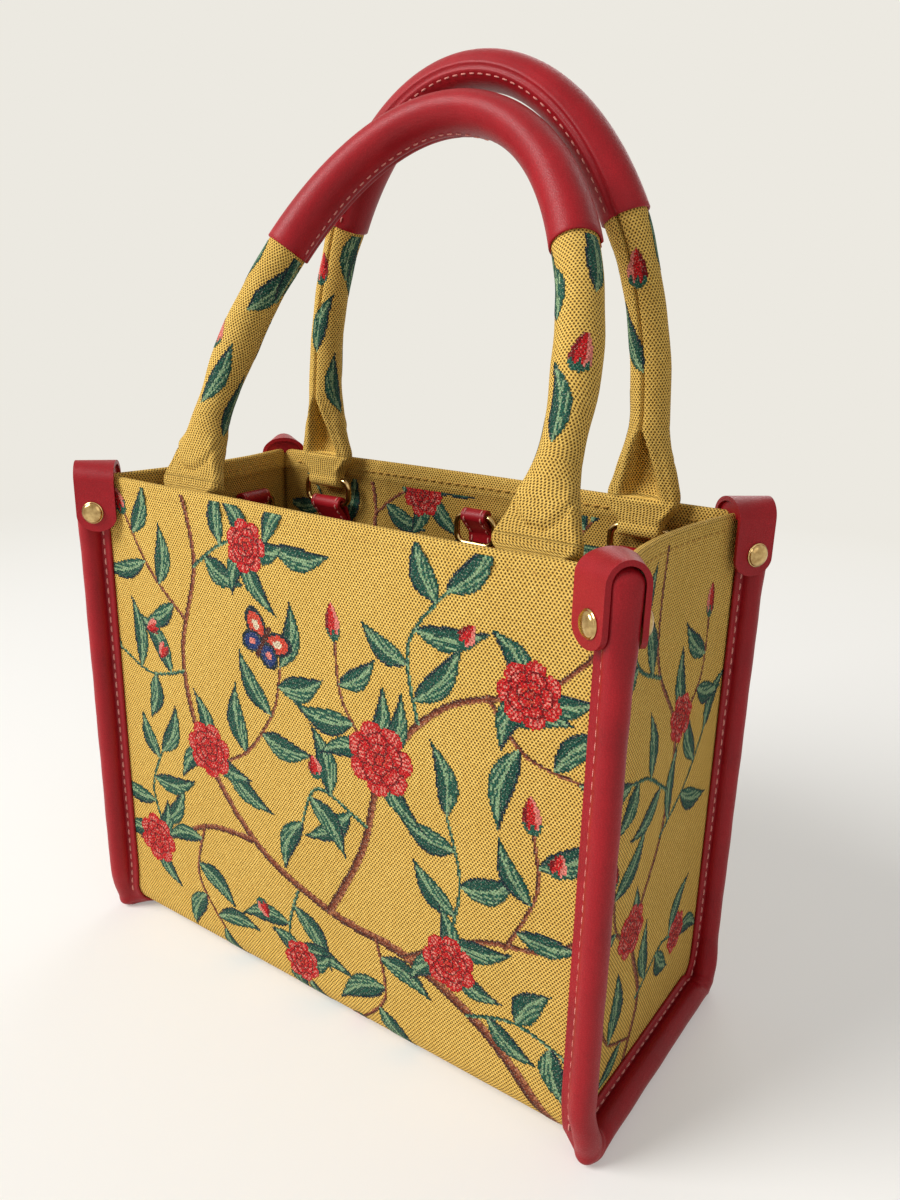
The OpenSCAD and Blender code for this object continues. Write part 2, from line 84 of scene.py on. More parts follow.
# The rim is rolled inward over the lining and stitched
ROLL_H, HEM_L, HEM_OFF, HEM_STITCH, HEM_GROOVE, HEM_PAST = 1.5, 9.0, 3.5, 5.0, 0.75, 2.0
GROOVE_W, GROOVE_EASE, LINING_TUCK = 1.0, 6.0, 5.0
HEM_ENDS, SIDE_HEM_ENDS, HANDLE_CLEAR, HEM_STITCH_L, HEM_STITCH_GAP = 11.0, 13.0, 2.0, 2.6, 1.5

# Spacing and columns of the cloth's nets
NET, PANEL_COLS, LINING_COLS, GUSSET_COLS, LINING_SIDE_COLS = 4.0, 58, 56, 28, 26

# How near the seams the cloth is held, over what length it comes free, and how far it then stands out
PANEL_HELD, PANEL_EASE, BELLY, RIM_WAVE = 9.0, 34.0, 1.4, 1.6
SIDE_HELD, SIDE_EASE, SIDE_BELLY = 8.0, 24.0, 0.9


def srgb(*rgb):
    """Linear colour of 8-bit sRGB values."""
    return tuple(c / 12.92 if c <= 0.04045 else ((c + 0.055) / 1.055) ** 2.4 for c in (v / 255 for v in rgb)) + (1.0,)


def smooth(share):
    share = np.clip(share, 0, 1)
    return share * share * (3 - 2 * share)


def hump(x, width):
    """Bell curve with the height 1."""
    return np.exp(-((x / width) ** 2))


def gone_along(points):
    """Length gone along a line at each of its points."""
    return np.concatenate([[0], np.cumsum(np.linalg.norm(np.diff(points, axis=0), axis=1))])


def ring_angles(sides):
    return np.arange(sides) * 2 * PI / sides


def new_object(name, data):
    obj = bpy.data.objects.new(name, data)
    bpy.context.scene.collection.objects.link(obj)
    return obj


# Meshes

BEVEL_STEPS, BEVEL_FROM = 3, math.radians(40)


class Piece:
    """Points, faces and the cloth place of each face corner of one mesh."""

    def __init__(self):
        self.points, self.faces, self.cloth, self.count = [], [], [], 0

    def add(self, points, faces, cloth=None):
        points = np.asarray(points, float).reshape(-1, 3)
        for k, face in enumerate(faces):
            self.faces.append([int(i) + self.count for i in face])
            self.cloth.append(cloth[k] if cloth is not None else [(0.0, 0.0)] * len(face))
        self.points.append(points)
        self.count += len(points)

    def grid(self, points, across=None, along=None, wrap_rows=False, wrap_cols=False):
        """Adds a net of quads; across and along give the cloth's places, with one more row or column where it wraps."""
        rows, cols = points.shape[:2]
        r, c = np.meshgrid(np.arange(rows - (not wrap_rows)), np.arange(cols - (not wrap_cols)), indexing="ij")
        r, c = r.ravel(), c.ravel()
        corners = [(r, c), (r, c + 1), (r + 1, c + 1), (r + 1, c)]
        faces = np.stack([(i % rows) * cols + j % cols for i, j in corners], 1)
        cloth = None
        if across is not None:
            shape = (rows + wrap_rows, cols + wrap_cols)
            a, b = np.broadcast_to(across, shape), np.broadcast_to(along, shape)
            cloth = np.stack([np.stack([a[i, j], b[i, j]], 1) for i, j in corners], 1).tolist()
        self.add(points, faces.tolist(), cloth)

    def cap(self, indices):
        self.faces.append(list(indices))
        self.cloth.append([(0.0, 0.0)] * len(self.faces[-1]))

    def build(self, name, material, body, slot, nodes=(), bake=False, bevel=0.0, closed=True):
        """Makes the object, puts it on its body, and lets it replace its CAD nodes; its slot is not used."""
        mesh = bpy.data.meshes.new(name)
        mesh.from_pydata((np.concatenate(self.points) * MM).tolist(), [], self.faces)
        cloth = np.array([place for face in self.cloth for place in face], np.float32)
        mesh.uv_layers.new(name="Weave").uv.foreach_set("vector", cloth.ravel())
        if bake:
            span = np.maximum(np.ptp(cloth, 0), 1e-6)
            share = (cloth - cloth.min(0)) / span
            mesh.uv_layers.new(name="OFBake").uv.foreach_set("vector", share.ravel())
        if closed:
            bm = bmesh.new()
            bm.from_mesh(mesh)
            bmesh.ops.recalc_face_normals(bm, faces=bm.faces)
            bm.to_mesh(mesh)
            bm.free()
        mesh.polygons.foreach_set("use_smooth", [True] * len(mesh.polygons))
        mesh.materials.append(material)
        obj = new_object(name, mesh)
        if bevel:
            edge = obj.modifiers.new("Worn edge", "BEVEL")
            edge.width, edge.segments = bevel * MM, BEVEL_STEPS
            edge.limit_method, edge.angle_limit = "ANGLE", BEVEL_FROM
            edge.harden_normals = True
        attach(obj, body)
        if nodes:
            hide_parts(*nodes)
        return obj


def placed(points, matrix):
    """Points moved by a 4x4 matrix whose lengths are millimetres."""
    m = np.array(matrix)
    return np.asarray(points) @ m[:3, :3].T + m[:3, 3]


def move(x, y, z):
    return Matrix.Translation((x, y, z))


def turn(angle, axis):
    return Matrix.Rotation(angle, 4, axis)


THREAD_R, FINE_R, THREAD_SIDES, STITCH_L, STITCH_GAP = 0.36, 0.3, 7, 2.7, 1.4


def sew(piece, line, normals, start=1.0, end=1.0, radius=THREAD_R, length=STITCH_L, gap=STITCH_GAP):
    """Adds a row of thread stitches along a line of points that lie on a surface."""
    line, normals = np.asarray(line, float), np.asarray(normals, float)
    gone = gone_along(line)
    count = int((gone[-1] - start - end + gap) // (length + gap))
    if count < 1:
        return
    pitch = (gone[-1] - start - end + gap) / count
    shares = np.array([0.0, 0.08, 0.3, 0.7, 0.92, 1.0])
    swell = np.array([0.35, 0.8, 1.0, 1.0, 0.8, 0.35])
    rise = np.array([-0.5, 0.1, 0.35, 0.35, 0.1, -0.5])
    ang = ring_angles(THREAD_SIDES)
    for k in range(count):
        s = start + k * pitch + shares * (pitch - gap)
        p = np.stack([np.interp(s, gone, line[:, i]) for i in range(3)], 1)
        n = np.stack([np.interp(s, gone, normals[:, i]) for i in range(3)], 1)
        n /= np.linalg.norm(n, axis=1)[:, None]
        t = p[-1] - p[0]
        t /= np.linalg.norm(t)
        b = np.cross(t, n)
        p = p + n * (rise * radius)[:, None]
        ring = (p[:, None] + radius * swell[:, None, None]
                * (np.cos(ang)[None, :, None] * b[:, None] + np.sin(ang)[None, :, None] * n[:, None]))
        first = piece.count
        piece.grid(ring.transpose(1, 0, 2), wrap_rows=True)
        rings = len(shares)
        piece.cap([first + i * rings for i in range(THREAD_SIDES)])
        piece.cap([first + i * rings + rings - 1 for i in range(THREAD_SIDES)])


# Materials

class Graph:
    """Short names for building the nodes of a material or the world."""

    def __init__(self, owner, shader="Principled BSDF"):
        owner.use_nodes = True
        self.owner, self.tree = owner, owner.node_tree
        self.shader = self.tree.nodes[shader]

    def put(self, socket, value):
        if isinstance(value, bpy.types.NodeSocket):
            self.tree.links.new(value, socket)
        else:
            socket.default_value = value

    def node(self, kind, inputs=(), **settings):
        node = self.tree.nodes.new(kind)
        for key, value in settings.items():
            setattr(node, key, value)
        for key, value in dict(inputs).items():
            self.put(node.inputs[key], value)
        return node

    def math(self, operation, a, b=0.0):
        node = self.node("ShaderNodeMath", operation=operation)
        self.put(node.inputs[0], a)
        self.put(node.inputs[1], b)
        return node.outputs[0]

    def times(self, a, b):
        return self.math("MULTIPLY", a, b)

    def plane(self, x, y):
        return self.node("ShaderNodeCombineXYZ", {0: x, 1: y}).outputs[0]

    def place(self):
        return self.node("ShaderNodeTexCoord").outputs["Object"]

    def scale(self, value, low, high, to_low=0.0, to_high=1.0):
        return self.node("ShaderNodeMapRange", {"Value": value, "From Min": low, "From Max": high,
                                                "To Min": to_low, "To Max": to_high}).outputs[0]

    def mix(self, share, a, b, blend="MIX"):
        node = self.node("ShaderNodeMix", data_type="RGBA", blend_type=blend)
        for index, value in ((0, share), (6, a), (7, b)):
            self.put(node.inputs[index], value)
        return node.outputs[2]

    def noise(self, place, scale, detail=2.0):
        return self.node("ShaderNodeTexNoise", {"Vector": place, "Scale": scale, "Detail": detail}).outputs[0]

    def bump(self, height, distance, strength=1.0, under=None):
        inputs = {"Height": height, "Distance": distance * MM, "Strength": strength}
        if under is not None:
            inputs["Normal"] = under
        return self.node("ShaderNodeBump", inputs).outputs[0]

    def set(self, **values):
        for key, value in values.items():
            self.put(self.shader.inputs[key.replace("_", " ")], value)


# Holes between the threads: their pitch in a row, the pitch of the rows, and the radii of the hole and its soft edge
DOT_PITCH, ROW_PITCH, HOLE_R, HOLE_OUT_R = 1.3, 0.9, 0.16, 0.47


def cloth_nodes(g):
    """Cloth place in millimetres, its two parts, and the depth of the holes between the threads, which also sets their
    painted shade.
    """
    uv = g.node("ShaderNodeUVMap", uv_map="Weave").outputs[0]
    parts = g.node("ShaderNodeSeparateXYZ", {0: uv})
    u, v = parts.outputs[0], parts.outputs[1]
    rows = g.math("DIVIDE", v, ROW_PITCH)
    row = g.math("FLOOR", rows)
    step = g.times(g.math("MODULO", g.math("ABSOLUTE", row), 2.0), 0.5)
    x = g.math("SUBTRACT", g.math("FRACT", g.math("ADD", g.math("DIVIDE", u, DOT_PITCH), step)), 0.5)
    y = g.math("SUBTRACT", g.math("FRACT", rows), 0.5)
    x2, y2 = (g.math("POWER", g.math("ABSOLUTE", g.times(share, pitch)), 2.0)
              for share, pitch in ((x, DOT_PITCH), (y, ROW_PITCH)))
    away = g.math("SQRT", g.math("ADD", x2, y2))
    return uv, u, v, g.scale(away, HOLE_R, HOLE_OUT_R, 1.0, 0.0)


def tapestry(name, bright, deep, gap):
    """Mustard ground of the weave: a net of bright threads with painted shade in the holes between them, in staggered
    rows.
    """
    g = Graph(bpy.data.materials.new(name))
    uv, u, v, hole = cloth_nodes(g)
    streak = g.noise(g.plane(g.times(u, 0.35), g.times(v, 2.2)), 1.0, 3.0)
    blotch = g.noise(uv, 0.045, 3.0)
    base = g.mix(g.scale(streak, 0.3, 0.7), deep, bright)
    base = g.mix(g.scale(blotch, 0.3, 0.7, 0.0, 0.28), base, deep)
    fibre = g.noise(uv, 3.1, 2.0)
    base = g.mix(g.scale(fibre, 0.35, 0.7, 0.0, 0.3), base, bright)
    # Painted shade: the holes between the threads take the dark gap colour.
    base = g.mix(hole, base, gap)
    height = g.math("SUBTRACT", g.times(streak, 0.35), hole)
    g.set(Base_Color=base, Roughness=g.scale(streak, 0.2, 0.8, 0.72, 0.88), Normal=g.bump(height, 0.3, 0.9),
          Specular_IOR_Level=0.12)
    return g.owner


def yarn():
    """Coloured yarn of the woven motifs, with threads that slant across the ground and painted shade in the holes
    between them.
    """
    g = Graph(bpy.data.materials.new("Yarn"))
    uv, u, v, hole = cloth_nodes(g)
    own = g.node("ShaderNodeAttribute", attribute_name="Yarn").outputs[0]
    streak = g.noise(g.plane(g.times(g.math("ADD", u, v), 1.9), g.times(g.math("SUBTRACT", u, v), 0.35)), 1.0, 2.0)
    fleck = g.noise(uv, 1.7, 1.0)
    dark = g.mix(1.0, own, srgb(184, 184, 184), "MULTIPLY")
    # Painted shade for the holes between the threads: the yarn's own colour made darker.
    deep = g.mix(1.0, own, srgb(96, 96, 96), "MULTIPLY")
    light = g.mix(0.3, own, srgb(228, 218, 190))
    base = g.mix(g.scale(streak, 0.36, 0.58), dark, own)
    base = g.mix(g.scale(fleck, 0.58, 0.68), base, light)
    # Painted shade: the yarn darkens in the holes between the threads.
    base = g.mix(g.times(hole, 0.6), base, deep)
    height = g.math("SUBTRACT", g.times(streak, 0.6), g.times(hole, 0.6))
    g.set(Base_Color=base, Roughness=g.scale(streak, 0.2, 0.8, 0.62, 0.82), Normal=g.bump(height, 0.25, 0.9),
          Specular_IOR_Level=0.15)
    return g.owner


def leather():
    """Smooth red leather: fine pebbled grain, soft mottling and a satin shine."""
    g = Graph(bpy.data.materials.new("Red leather"))
    place = g.place()
    cells = g.node("ShaderNodeTexVoronoi", {"Vector": place, "Scale": 1300.0}, feature="DISTANCE_TO_EDGE").outputs[0]
    grain = g.scale(cells, 0.0, 0.3)
    fine = g.noise(place, 2600.0, 3.0)
    mottle = g.noise(place, 60.0, 4.0)
    crease = g.noise(place, 240.0, 3.0)
    base = g.mix(g.scale(mottle, 0.3, 0.7), srgb(144, 15, 25), srgb(162, 21, 31))
    base = g.mix(g.scale(grain, 0.0, 0.5, 0.35, 0.0), base, srgb(98, 8, 16))
    rough = g.math("ADD", g.scale(mottle, 0.3, 0.7, 0.33, 0.42), g.scale(grain, 0.0, 1.0, 0.12, 0.0))
    low = g.bump(crease, 0.22, 0.6)
    height = g.math("ADD", g.times(grain, 0.8), g.times(fine, 0.4))
    g.set(Base_Color=base, Roughness=rough, Normal=g.bump(height, 0.04, 0.9, low), Specular_IOR_Level=0.24)
    return g.owner


def gold():
    """Pale polished gold plating with faint scratches, its colour darkened overall and more in clouds as painted dark
    reflection.
    """
    g = Graph(bpy.data.materials.new("Pale gold"))
    place = g.place()
    cloud = g.noise(place, 420.0, 4.0)
    scratch = g.noise(place, 2400.0, 3.0)
    # Painted reflection: both golds are darker than the plating itself, and the darker one in clouds stands for dark
    # surroundings mirrored in the metal.
    base = g.mix(g.scale(cloud, 0.35, 0.7), srgb(208, 178, 122), srgb(158, 126, 78))
    g.set(Base_Color=base, Metallic=1.0, Roughness=g.scale(cloud, 0.3, 0.7, 0.12, 0.2),
          Normal=g.bump(scratch, 0.004, 0.3))
    return g.owner


def sewing_thread(name, pale, deep):
    """Twisted sewing thread."""
    g = Graph(bpy.data.materials.new(name))
    place = g.place()
    twist = g.node("ShaderNodeTexWave", {"Vector": place, "Scale": 900.0, "Distortion": 2.0},
                   bands_direction="DIAGONAL").outputs[1]
    base = g.mix(g.scale(twist, 0.2, 0.9), deep, pale)
    g.set(Base_Color=base, Roughness=g.scale(twist, 0.0, 1.0, 0.75, 0.6), Normal=g.bump(twist, 0.08, 0.8),
          Specular_IOR_Level=0.3)
    return g.owner


# The third colour of each tapestry is the painted shade in the holes between the threads.
TAPESTRY = tapestry("Mustard tapestry", srgb(246, 207, 112), srgb(206, 161, 70), srgb(72, 47, 8))
# Painted shade: the lining is the same tapestry as the outside, with its colours darker for the shade inside the bag.
LINING = tapestry("Tapestry lining", srgb(220, 180, 92), srgb(174, 132, 54), srgb(60, 40, 6))
YARN, LEATHER, GOLD = yarn(), leather(), gold()
PINK_THREAD = sewing_thread("Pink thread", srgb(226, 160, 148), srgb(190, 104, 96))
GOLD_THREAD = sewing_thread("Mustard thread", srgb(216, 172, 84), srgb(160, 116, 44))


# Cloth of the body

def panel_path(s):
    """Depth and height of the panel's outer face at the length s, and its inward direction."""
    from_middle = np.asarray(s, float) - PANEL_L / 2
    side, a = np.where(from_middle < 0, -1.0, 1.0), np.abs(from_middle)
    angle = np.clip((a - FLAT_HALF) / FOLD_R, 0, PI / 2)
    y = np.minimum(a, FLAT_HALF) + FOLD_R * np.sin(angle)
    z = LIFT + FOLD_R * (1 - np.cos(angle)) + np.maximum(a - FLAT_HALF - ARC_L, 0)
    return side * y, z, -side * np.sin(angle), np.cos(angle)


def panel_wave(x, s):
    """How far the soft panel stands out from its flat place: a belly, a wavy rim and shallow dents."""
    _, z, _, _ = panel_path(s)
    up = np.clip((z - LIFT) / (BODY_H - LIFT), 0, 1)
    back = np.where(np.asarray(s) > PANEL_L / 2, 1.9, 0.0)
    free = smooth((HALF_W - np.abs(x) - PANEL_HELD) / PANEL_EASE) * smooth(up / 0.3)
    belly = BELLY * np.sin(PI * up) + 0.25
    rim = RIM_WAVE * up ** 3 * (0.5 + 0.5 * np.sin(x / 34 + 0.4 + back))
    dents = 0.35 * np.sin(x / 21 + z / 33 + back) + 0.25 * np.sin(x / 13 - z / 19 + 2 * back)
    return free * (belly + rim + dents)


def panel_point(x, s, off, pulled=1.0):
    """Place on the folded panel at the depth off below its outer face; the hem's stitches pull a groove into it."""
    y, z, ny, nz = panel_path(s)
    free = smooth((HALF_W - np.abs(x) - PANEL_HELD) / GROOVE_EASE)
    groove = HEM_GROOVE * hump(BODY_H - z - HEM_STITCH, GROOVE_W) * free
    depth = off - panel_wave(x, s) + pulled * groove
    return np.stack(np.broadcast_arrays(x, y + ny * depth, z + nz * depth), -1)


def bow(y, z):
    """How far a gusset bows inward."""
    up = (z - LIFT) / (BODY_H - LIFT)
    return GUSSET_BOW * up * up * np.maximum(0, 1 - (y / GUSSET_HALF_D) ** 2)


def side_half(edge, z):
    """Half depth at the height z of a gusset that keeps a distance from the panel's outer face."""
    r = FOLD_R - edge
    drop = np.minimum(r, np.maximum(0, FOLD_R - (z - LIFT)))
    return HALF_D - FOLD_R + np.sqrt(np.maximum(r * r - drop * drop, 0))


def gusset_point(side, y, z, off):
    """Place on a gusset at the depth off below its outer face."""
    up = np.clip((z - LIFT) / (BODY_H - LIFT), 0, 1)
    free = smooth((HALF_D - np.abs(y) - SIDE_HELD) / SIDE_EASE) * smooth(up / 0.25)
    dents = 0.5 * np.sin(y / 15 + z / 41 + side) + 0.4 * np.sin(z / 17 - y / 23)
    soft = free * (dents + SIDE_BELLY * np.sin(PI * up))
    x = side * (HALF_W - off - bow(y, z) + soft)
    return np.stack(np.broadcast_arrays(x, y, z), -1)


def hem_section(rim, inward):
    """Section of a cloth edge that runs up the outer face, rolls over the rim and ends in a hem on the inside."""
    a = np.linspace(0, PI, 9)
    rolled = [(rim - inward * (ROLL_H - ROLL_H * math.sin(t)), HEM_OFF / 2 * (1 - math.cos(t))) for t in a]
    hem = [(rim - inward * h, HEM_OFF) for h in (4.0, 6.5, HEM_L - 0.6)]
    step = [(rim - inward * HEM_L, HEM_OFF - 0.5), (rim - inward * (HEM_L + 0.1), CLOTH_T + 0.3),
            (rim - inward * (HEM_L + 0.6), CLOTH_T)]
    return rolled + hem + step


def lengths_along(section):
    """Length gone along a closed section, with one more value than it has points."""
    return gone_along(np.array(section + section[:1]))


def panel_rows(start, end):
    """Lengths along the panel, closer together round the folds."""
    folds = [(SIDE_L, SIDE_L + ARC_L), (PANEL_L - SIDE_L - ARC_L, PANEL_L - SIDE_L)]
    marks = [start]
    for a, b in folds:
        marks += list(np.linspace(marks[-1], a, int((a - marks[-1]) / NET))[1:])
        marks += list(np.linspace(a, b, 13)[1:])
    return np.array(marks + list(np.linspace(marks[-1], end, int((end - marks[-1]) / NET))[1:]))


def end_caps(piece, rows, cols):
    """Closes both ends of a net of closed sections."""
    piece.cap([i * cols for i in range(rows)])
    piece.cap([i * cols + cols - 1 for i in range(rows)])


def gusset_heights(edge, top):
    """Heights on a gusset, closer together beside the fold."""
    r = FOLD_R - edge
    fold = [LIFT + FOLD_R - r * math.cos(PI / 2 * i / 10) for i in range(11)]
    return np.array(fold + list(np.linspace(fold[-1], top, int((top - fold[-1]) / NET))[1:]))


def lining_section(places):
    return [(v, LINING_OFF + LAYER_GAP) for v in places] + [(v, INNER_OFF) for v in places[::-1]]


def cloth_piece(points, across, section, name, material, slot, node):
    """Cloth whose closed section is repeated across it."""
    piece = Piece()
    piece.grid(points, across, lengths_along(section)[:, None], wrap_rows=True)
    end_caps(piece, *points.shape[:2])
    return piece.build(name, material, "bag", slot, [node], bake=True)


def folded_piece(section, end, cols, *labels):
    x, (s, off) = np.linspace(-end, end, cols)[None, :], np.array(section).T[:, :, None]
    return cloth_piece(panel_point(x, s, off), x, section, *labels)


def side_piece(side, section, edge, cols, *labels):
    z, off = np.array(section).T[:, :, None]
    y = np.linspace(-1, 1, cols)[None, :] * side_half(edge, z)
    return cloth_piece(gusset_point(side, y, z, off), np.vstack([y, y[:1]]), section, *labels)


def build_panel():
    outer = [(s, 0.0) for s in panel_rows(ROLL_H, PANEL_L - ROLL_H)[1:-1]]
    inner = [(s, CLOTH_T) for s in panel_rows(HEM_L + HEM_PAST, PANEL_L - HEM_L - HEM_PAST)[::-1]]
    section = hem_section(0.0, -1)[::-1] + outer + hem_section(PANEL_L, 1) + inner
    return folded_piece(section, HALF_W, PANEL_COLS, "Panel", TAPESTRY, "tapestry", "main_panel")


def build_lining():
    section = lining_section(panel_rows(LINING_TUCK, PANEL_L - LINING_TUCK))
    end = HALF_W - LINING_OFF - float(bow(INNER_HALF_D, BODY_H))
    return folded_piece(section, end, LINING_COLS, "Lining_body", LINING, "lining", "lining_body")


def build_gusset(side, name):
    outer = [(z, 0.0) for z in gusset_heights(LINING_OFF, BODY_H - ROLL_H)[:-1]]
    inner = [(z, CLOTH_T) for z in gusset_heights(LINING_OFF, BODY_H - HEM_L - HEM_PAST)[::-1]]
    section = outer + hem_section(BODY_H, 1) + inner
    return side_piece(side, section, LINING_OFF, GUSSET_COLS, f"Gusset_{name}", TAPESTRY, "tapestry", f"gusset_{name}")


def build_lining_side(side, name):
    edge = INNER_OFF + LAYER_GAP
    section = lining_section(gusset_heights(edge, BODY_H - LINING_TUCK))
    return side_piece(side, section, edge, LINING_SIDE_COLS, f"Lining_{name}", LINING, "lining", f"lining_{name}")


# Leather of the body

def bead_middle(share):
    """Middle of the bead, out from the gusset and from the panel: on the diagonal, then beside the bottom edge."""
    if share < 0.5:
        a = PI / 4 * (1 - 2 * share)
        return BEAD_OUT * math.cos(a), BEAD_OUT * math.sin(a)
    return BEAD_OUT, (WING_OUT - BEAD_R) * (2 * share - 1)


BEAD_STEPS, TIP_ROUND, DOME_H, STITCH_OFF = 30, 0.45, 5.2, 1.5
# Where the bead starts to fill the fold of the tab, over what length, and the gap it leaves
FULL_BELOW, FULL_RUN, FULL_GAP, ROOT2 = 12.0, 20.0, 0.2, math.sqrt(2)


def binding_outline(share):
    """Outline of the binding, out from the gusset and out from the panel, and the two places of its stitches."""
    mx, my = bead_middle(share)
    start = math.acos((mx - WING_OUT) / BEAD_R) - PI
    end = PI - math.asin((WING_OUT - my) / BEAD_R)
    gusset_crease, panel_crease = my + BEAD_R * math.sin(start), mx + BEAD_R * math.cos(end)
    gusset_tip = max(min(gusset_crease, 0) - WING_FLAT, WING_MIN_R - FOLD_R)
    panel_tip = min(panel_crease, 0) - WING_FLAT
    bead = [(mx + BEAD_R * math.cos(a), my + BEAD_R * math.sin(a)) for a in np.linspace(start, end, BEAD_STEPS)]
    soft = TIP_ROUND
    wings = [(panel_tip + soft * 1.6, WING_OUT), (panel_tip + soft * 0.4, WING_OUT - soft * 0.4),
             (panel_tip, WING_OUT - soft * 1.4), (panel_tip, LAYER_GAP), (LAYER_GAP, LAYER_GAP),
             (LAYER_GAP, gusset_tip), (WING_OUT - soft * 1.4, gusset_tip),
             (WING_OUT - soft * 0.4, gusset_tip + soft * 0.4), (WING_OUT, gusset_tip + soft * 1.6)]
    return (np.array(bead + wings), (min(panel_crease, 0) - STITCH_OFF, WING_OUT),
            (WING_OUT, max(min(gusset_crease, 0) - STITCH_OFF, gusset_tip + soft * 2)))


def fuller(bead, middle, z):
    """Bead outline that widens near the top of a seam, where it fills the fold of the tab."""
    off = bead - middle
    out, across = (off[:, 0] + off[:, 1]) / ROOT2, (off[:, 0] - off[:, 1]) / ROOT2
    reach = np.clip(out / BEAD_R, -0.99, 0.99)
    room = (tab_half(BEAD_OUT + out) - FULL_GAP) / BEAD_R
    ratio = room * np.sqrt((1 - np.maximum(reach, 0) ** 6) / (1 - reach ** 2))
    full = smooth((z - TAB_END + FULL_BELOW) / FULL_RUN) * smooth((reach + 0.3) / 0.5)
    across = across * (1 + full * (ratio - 1))
    return middle + np.stack([out + across, out - across], 1) / ROOT2


def seam_stations():
    """Foot, outward direction and turn of the binding along a seam, from the front rim to the back rim."""
    total = TURN_L + ARC_L
    half = []
    for z in np.linspace(FIN_TOP, LIFT + FOLD_R + TURN_L, 42)[:-1]:
        half.append((-HALF_D, z, -1.0, 0.0, 0.0))
    for gone in np.linspace(0, TURN_L, 6)[:-1]:
        half.append((-HALF_D, LIFT + FOLD_R + TURN_L - gone, -1.0, 0.0, float(smooth(gone / total))))
    for a in np.linspace(0, PI / 2, 41):
        ny, nz = -math.cos(a), -math.sin(a)
        half.append((FOLD_R - HALF_D + FOLD_R * ny, LIFT + FOLD_R + FOLD_R * nz, ny, nz,
                     float(smooth((TURN_L + FOLD_R * a) / total))))
    floor = [(y, LIFT, 0.0, -1.0, 1.0) for y in np.linspace(-FLAT_HALF, FLAT_HALF, 20)[1:-1]]
    return half + floor + [(-y, z, -ny, nz, t) for y, z, ny, nz, t in half[::-1]]


# The leather is folded to a mitre at the bottom corners: how pointed, and its crease and the ridges beside it
MITRE, CREASE_T, RIDGE_T, CREASE_W, RIDGE_AT = 0.85, 1.7, 0.5, 0.065, 0.17
# Turn at which the stitches on the panel end
STITCH_TURN = 0.45


def corner_fold(ny, nz):
    """Share by which a bottom corner is drawn out to a point, and the height of its crease and ridges."""
    if abs(ny) in (0.0, 1.0):
        return 0.0, 0.0
    a = math.atan2(abs(nz), abs(ny)) - PI / 4
    crease, *ridges = (hump(a - at, CREASE_W) for at in (0, -RIDGE_AT, RIDGE_AT))
    return MITRE * (1 / max(abs(ny), abs(nz)) - 1), RIDGE_T * sum(ridges) - CREASE_T * crease


def build_binding(side, name):
    stations = seam_stations()
    rings, panel_line, gusset_line = [], [], []
    for fy, fz, ny, nz, share in stations:
        outline, on_panel, on_gusset = binding_outline(share)
        pull = 1 + 0.012 * math.sin(fz / 7.0 + fy / 5.0 + side) + 0.010 * math.sin(fz / 2.9 - fy / 3.3)
        bent, middle = outline.copy(), np.array(bead_middle(share))
        bead = bent[:BEAD_STEPS]
        bead[1:-1] = (bead[1:-1] - middle) * pull + middle
        if share == 0:
            bead[:] = fuller(bead, middle, fz)
        drawn, fold = corner_fold(ny, nz)
        tip = outline[:, 0].min()

        def spot(p):
            hold = smooth((p[0] - tip) / (LAYER_GAP - tip))
            out = p[1] + hold * (drawn * (FOLD_R + p[1]) + fold * smooth((FOLD_R + p[1]) / FOLD_R))
            return side * (HALF_W + p[0]), fy + out * ny, fz + out * nz

        rings.append([spot(p) for p in bent])
        panel_line.append(spot(on_panel))
        gusset_line.append(spot(on_gusset))
    rings = np.array(rings)
    rings[..., 2] = np.maximum(rings[..., 2], 0)
    domes = []
    for end, sy in ((0, -1), (-1, 1)):
        middle = np.array([side * (HALF_W + bead_middle(0)[0]), sy * (HALF_D + bead_middle(0)[1]), FIN_TOP])
        dome = [middle + (rings[end] - middle) * math.cos(a) + (0, 0, DOME_H * math.sin(a))
                for a in np.linspace(0.2, 1.5, 9)]
        domes.append(np.array(dome if end else dome[::-1]))
    rings = np.concatenate([domes[0], rings, domes[1]])
    piece = Piece()
    piece.grid(rings.transpose(1, 0, 2), wrap_rows=True)
    end_caps(piece, rings.shape[1], rings.shape[0])
    piece.build(f"Binding_{name}", LEATHER, "bag", "leather", [f"binding_{name}"])
    thread = Piece()
    hidden = FIN_TOP - TAB_END
    panel_n = [(0.0, ny, nz) for _, _, ny, nz, _ in stations]
    gusset_n = [(side, 0.0, 0.0)] * len(stations)
    upright = [k for k, station in enumerate(stations) if station[4] < STITCH_TURN]
    for run in (upright[: len(upright) // 2], upright[len(upright) // 2:][::-1]):
        sew(thread, [panel_line[k] for k in run], [panel_n[k] for k in run], hidden, 0.5)
    sew(thread, gusset_line, gusset_n, hidden, hidden)
    thread.build(f"Binding_stitches_{name}", PINK_THREAD, "bag", "leather")


def corner_matrix(sx, sy):
    return move(sx * HALF_W, sy * HALF_D, 0) @ turn(math.atan2(sy, sx), "Z")


# Filling in the fold of a tab: how far in, how thick, and how far it reaches into the leather
WEB_IN, WEB_T, WEB_INTO = 1.2, 0.9, 0.3
# Rounding of cut leather
WORN_TAB, WORN_LOOP = 0.4, 0.3


def tab_half(s):
    """Half the free width between the legs of a tab."""
    return BEAD_R + TAB_GAP + (TAB_OUT - s) * math.tan(TAB_SPLAY)


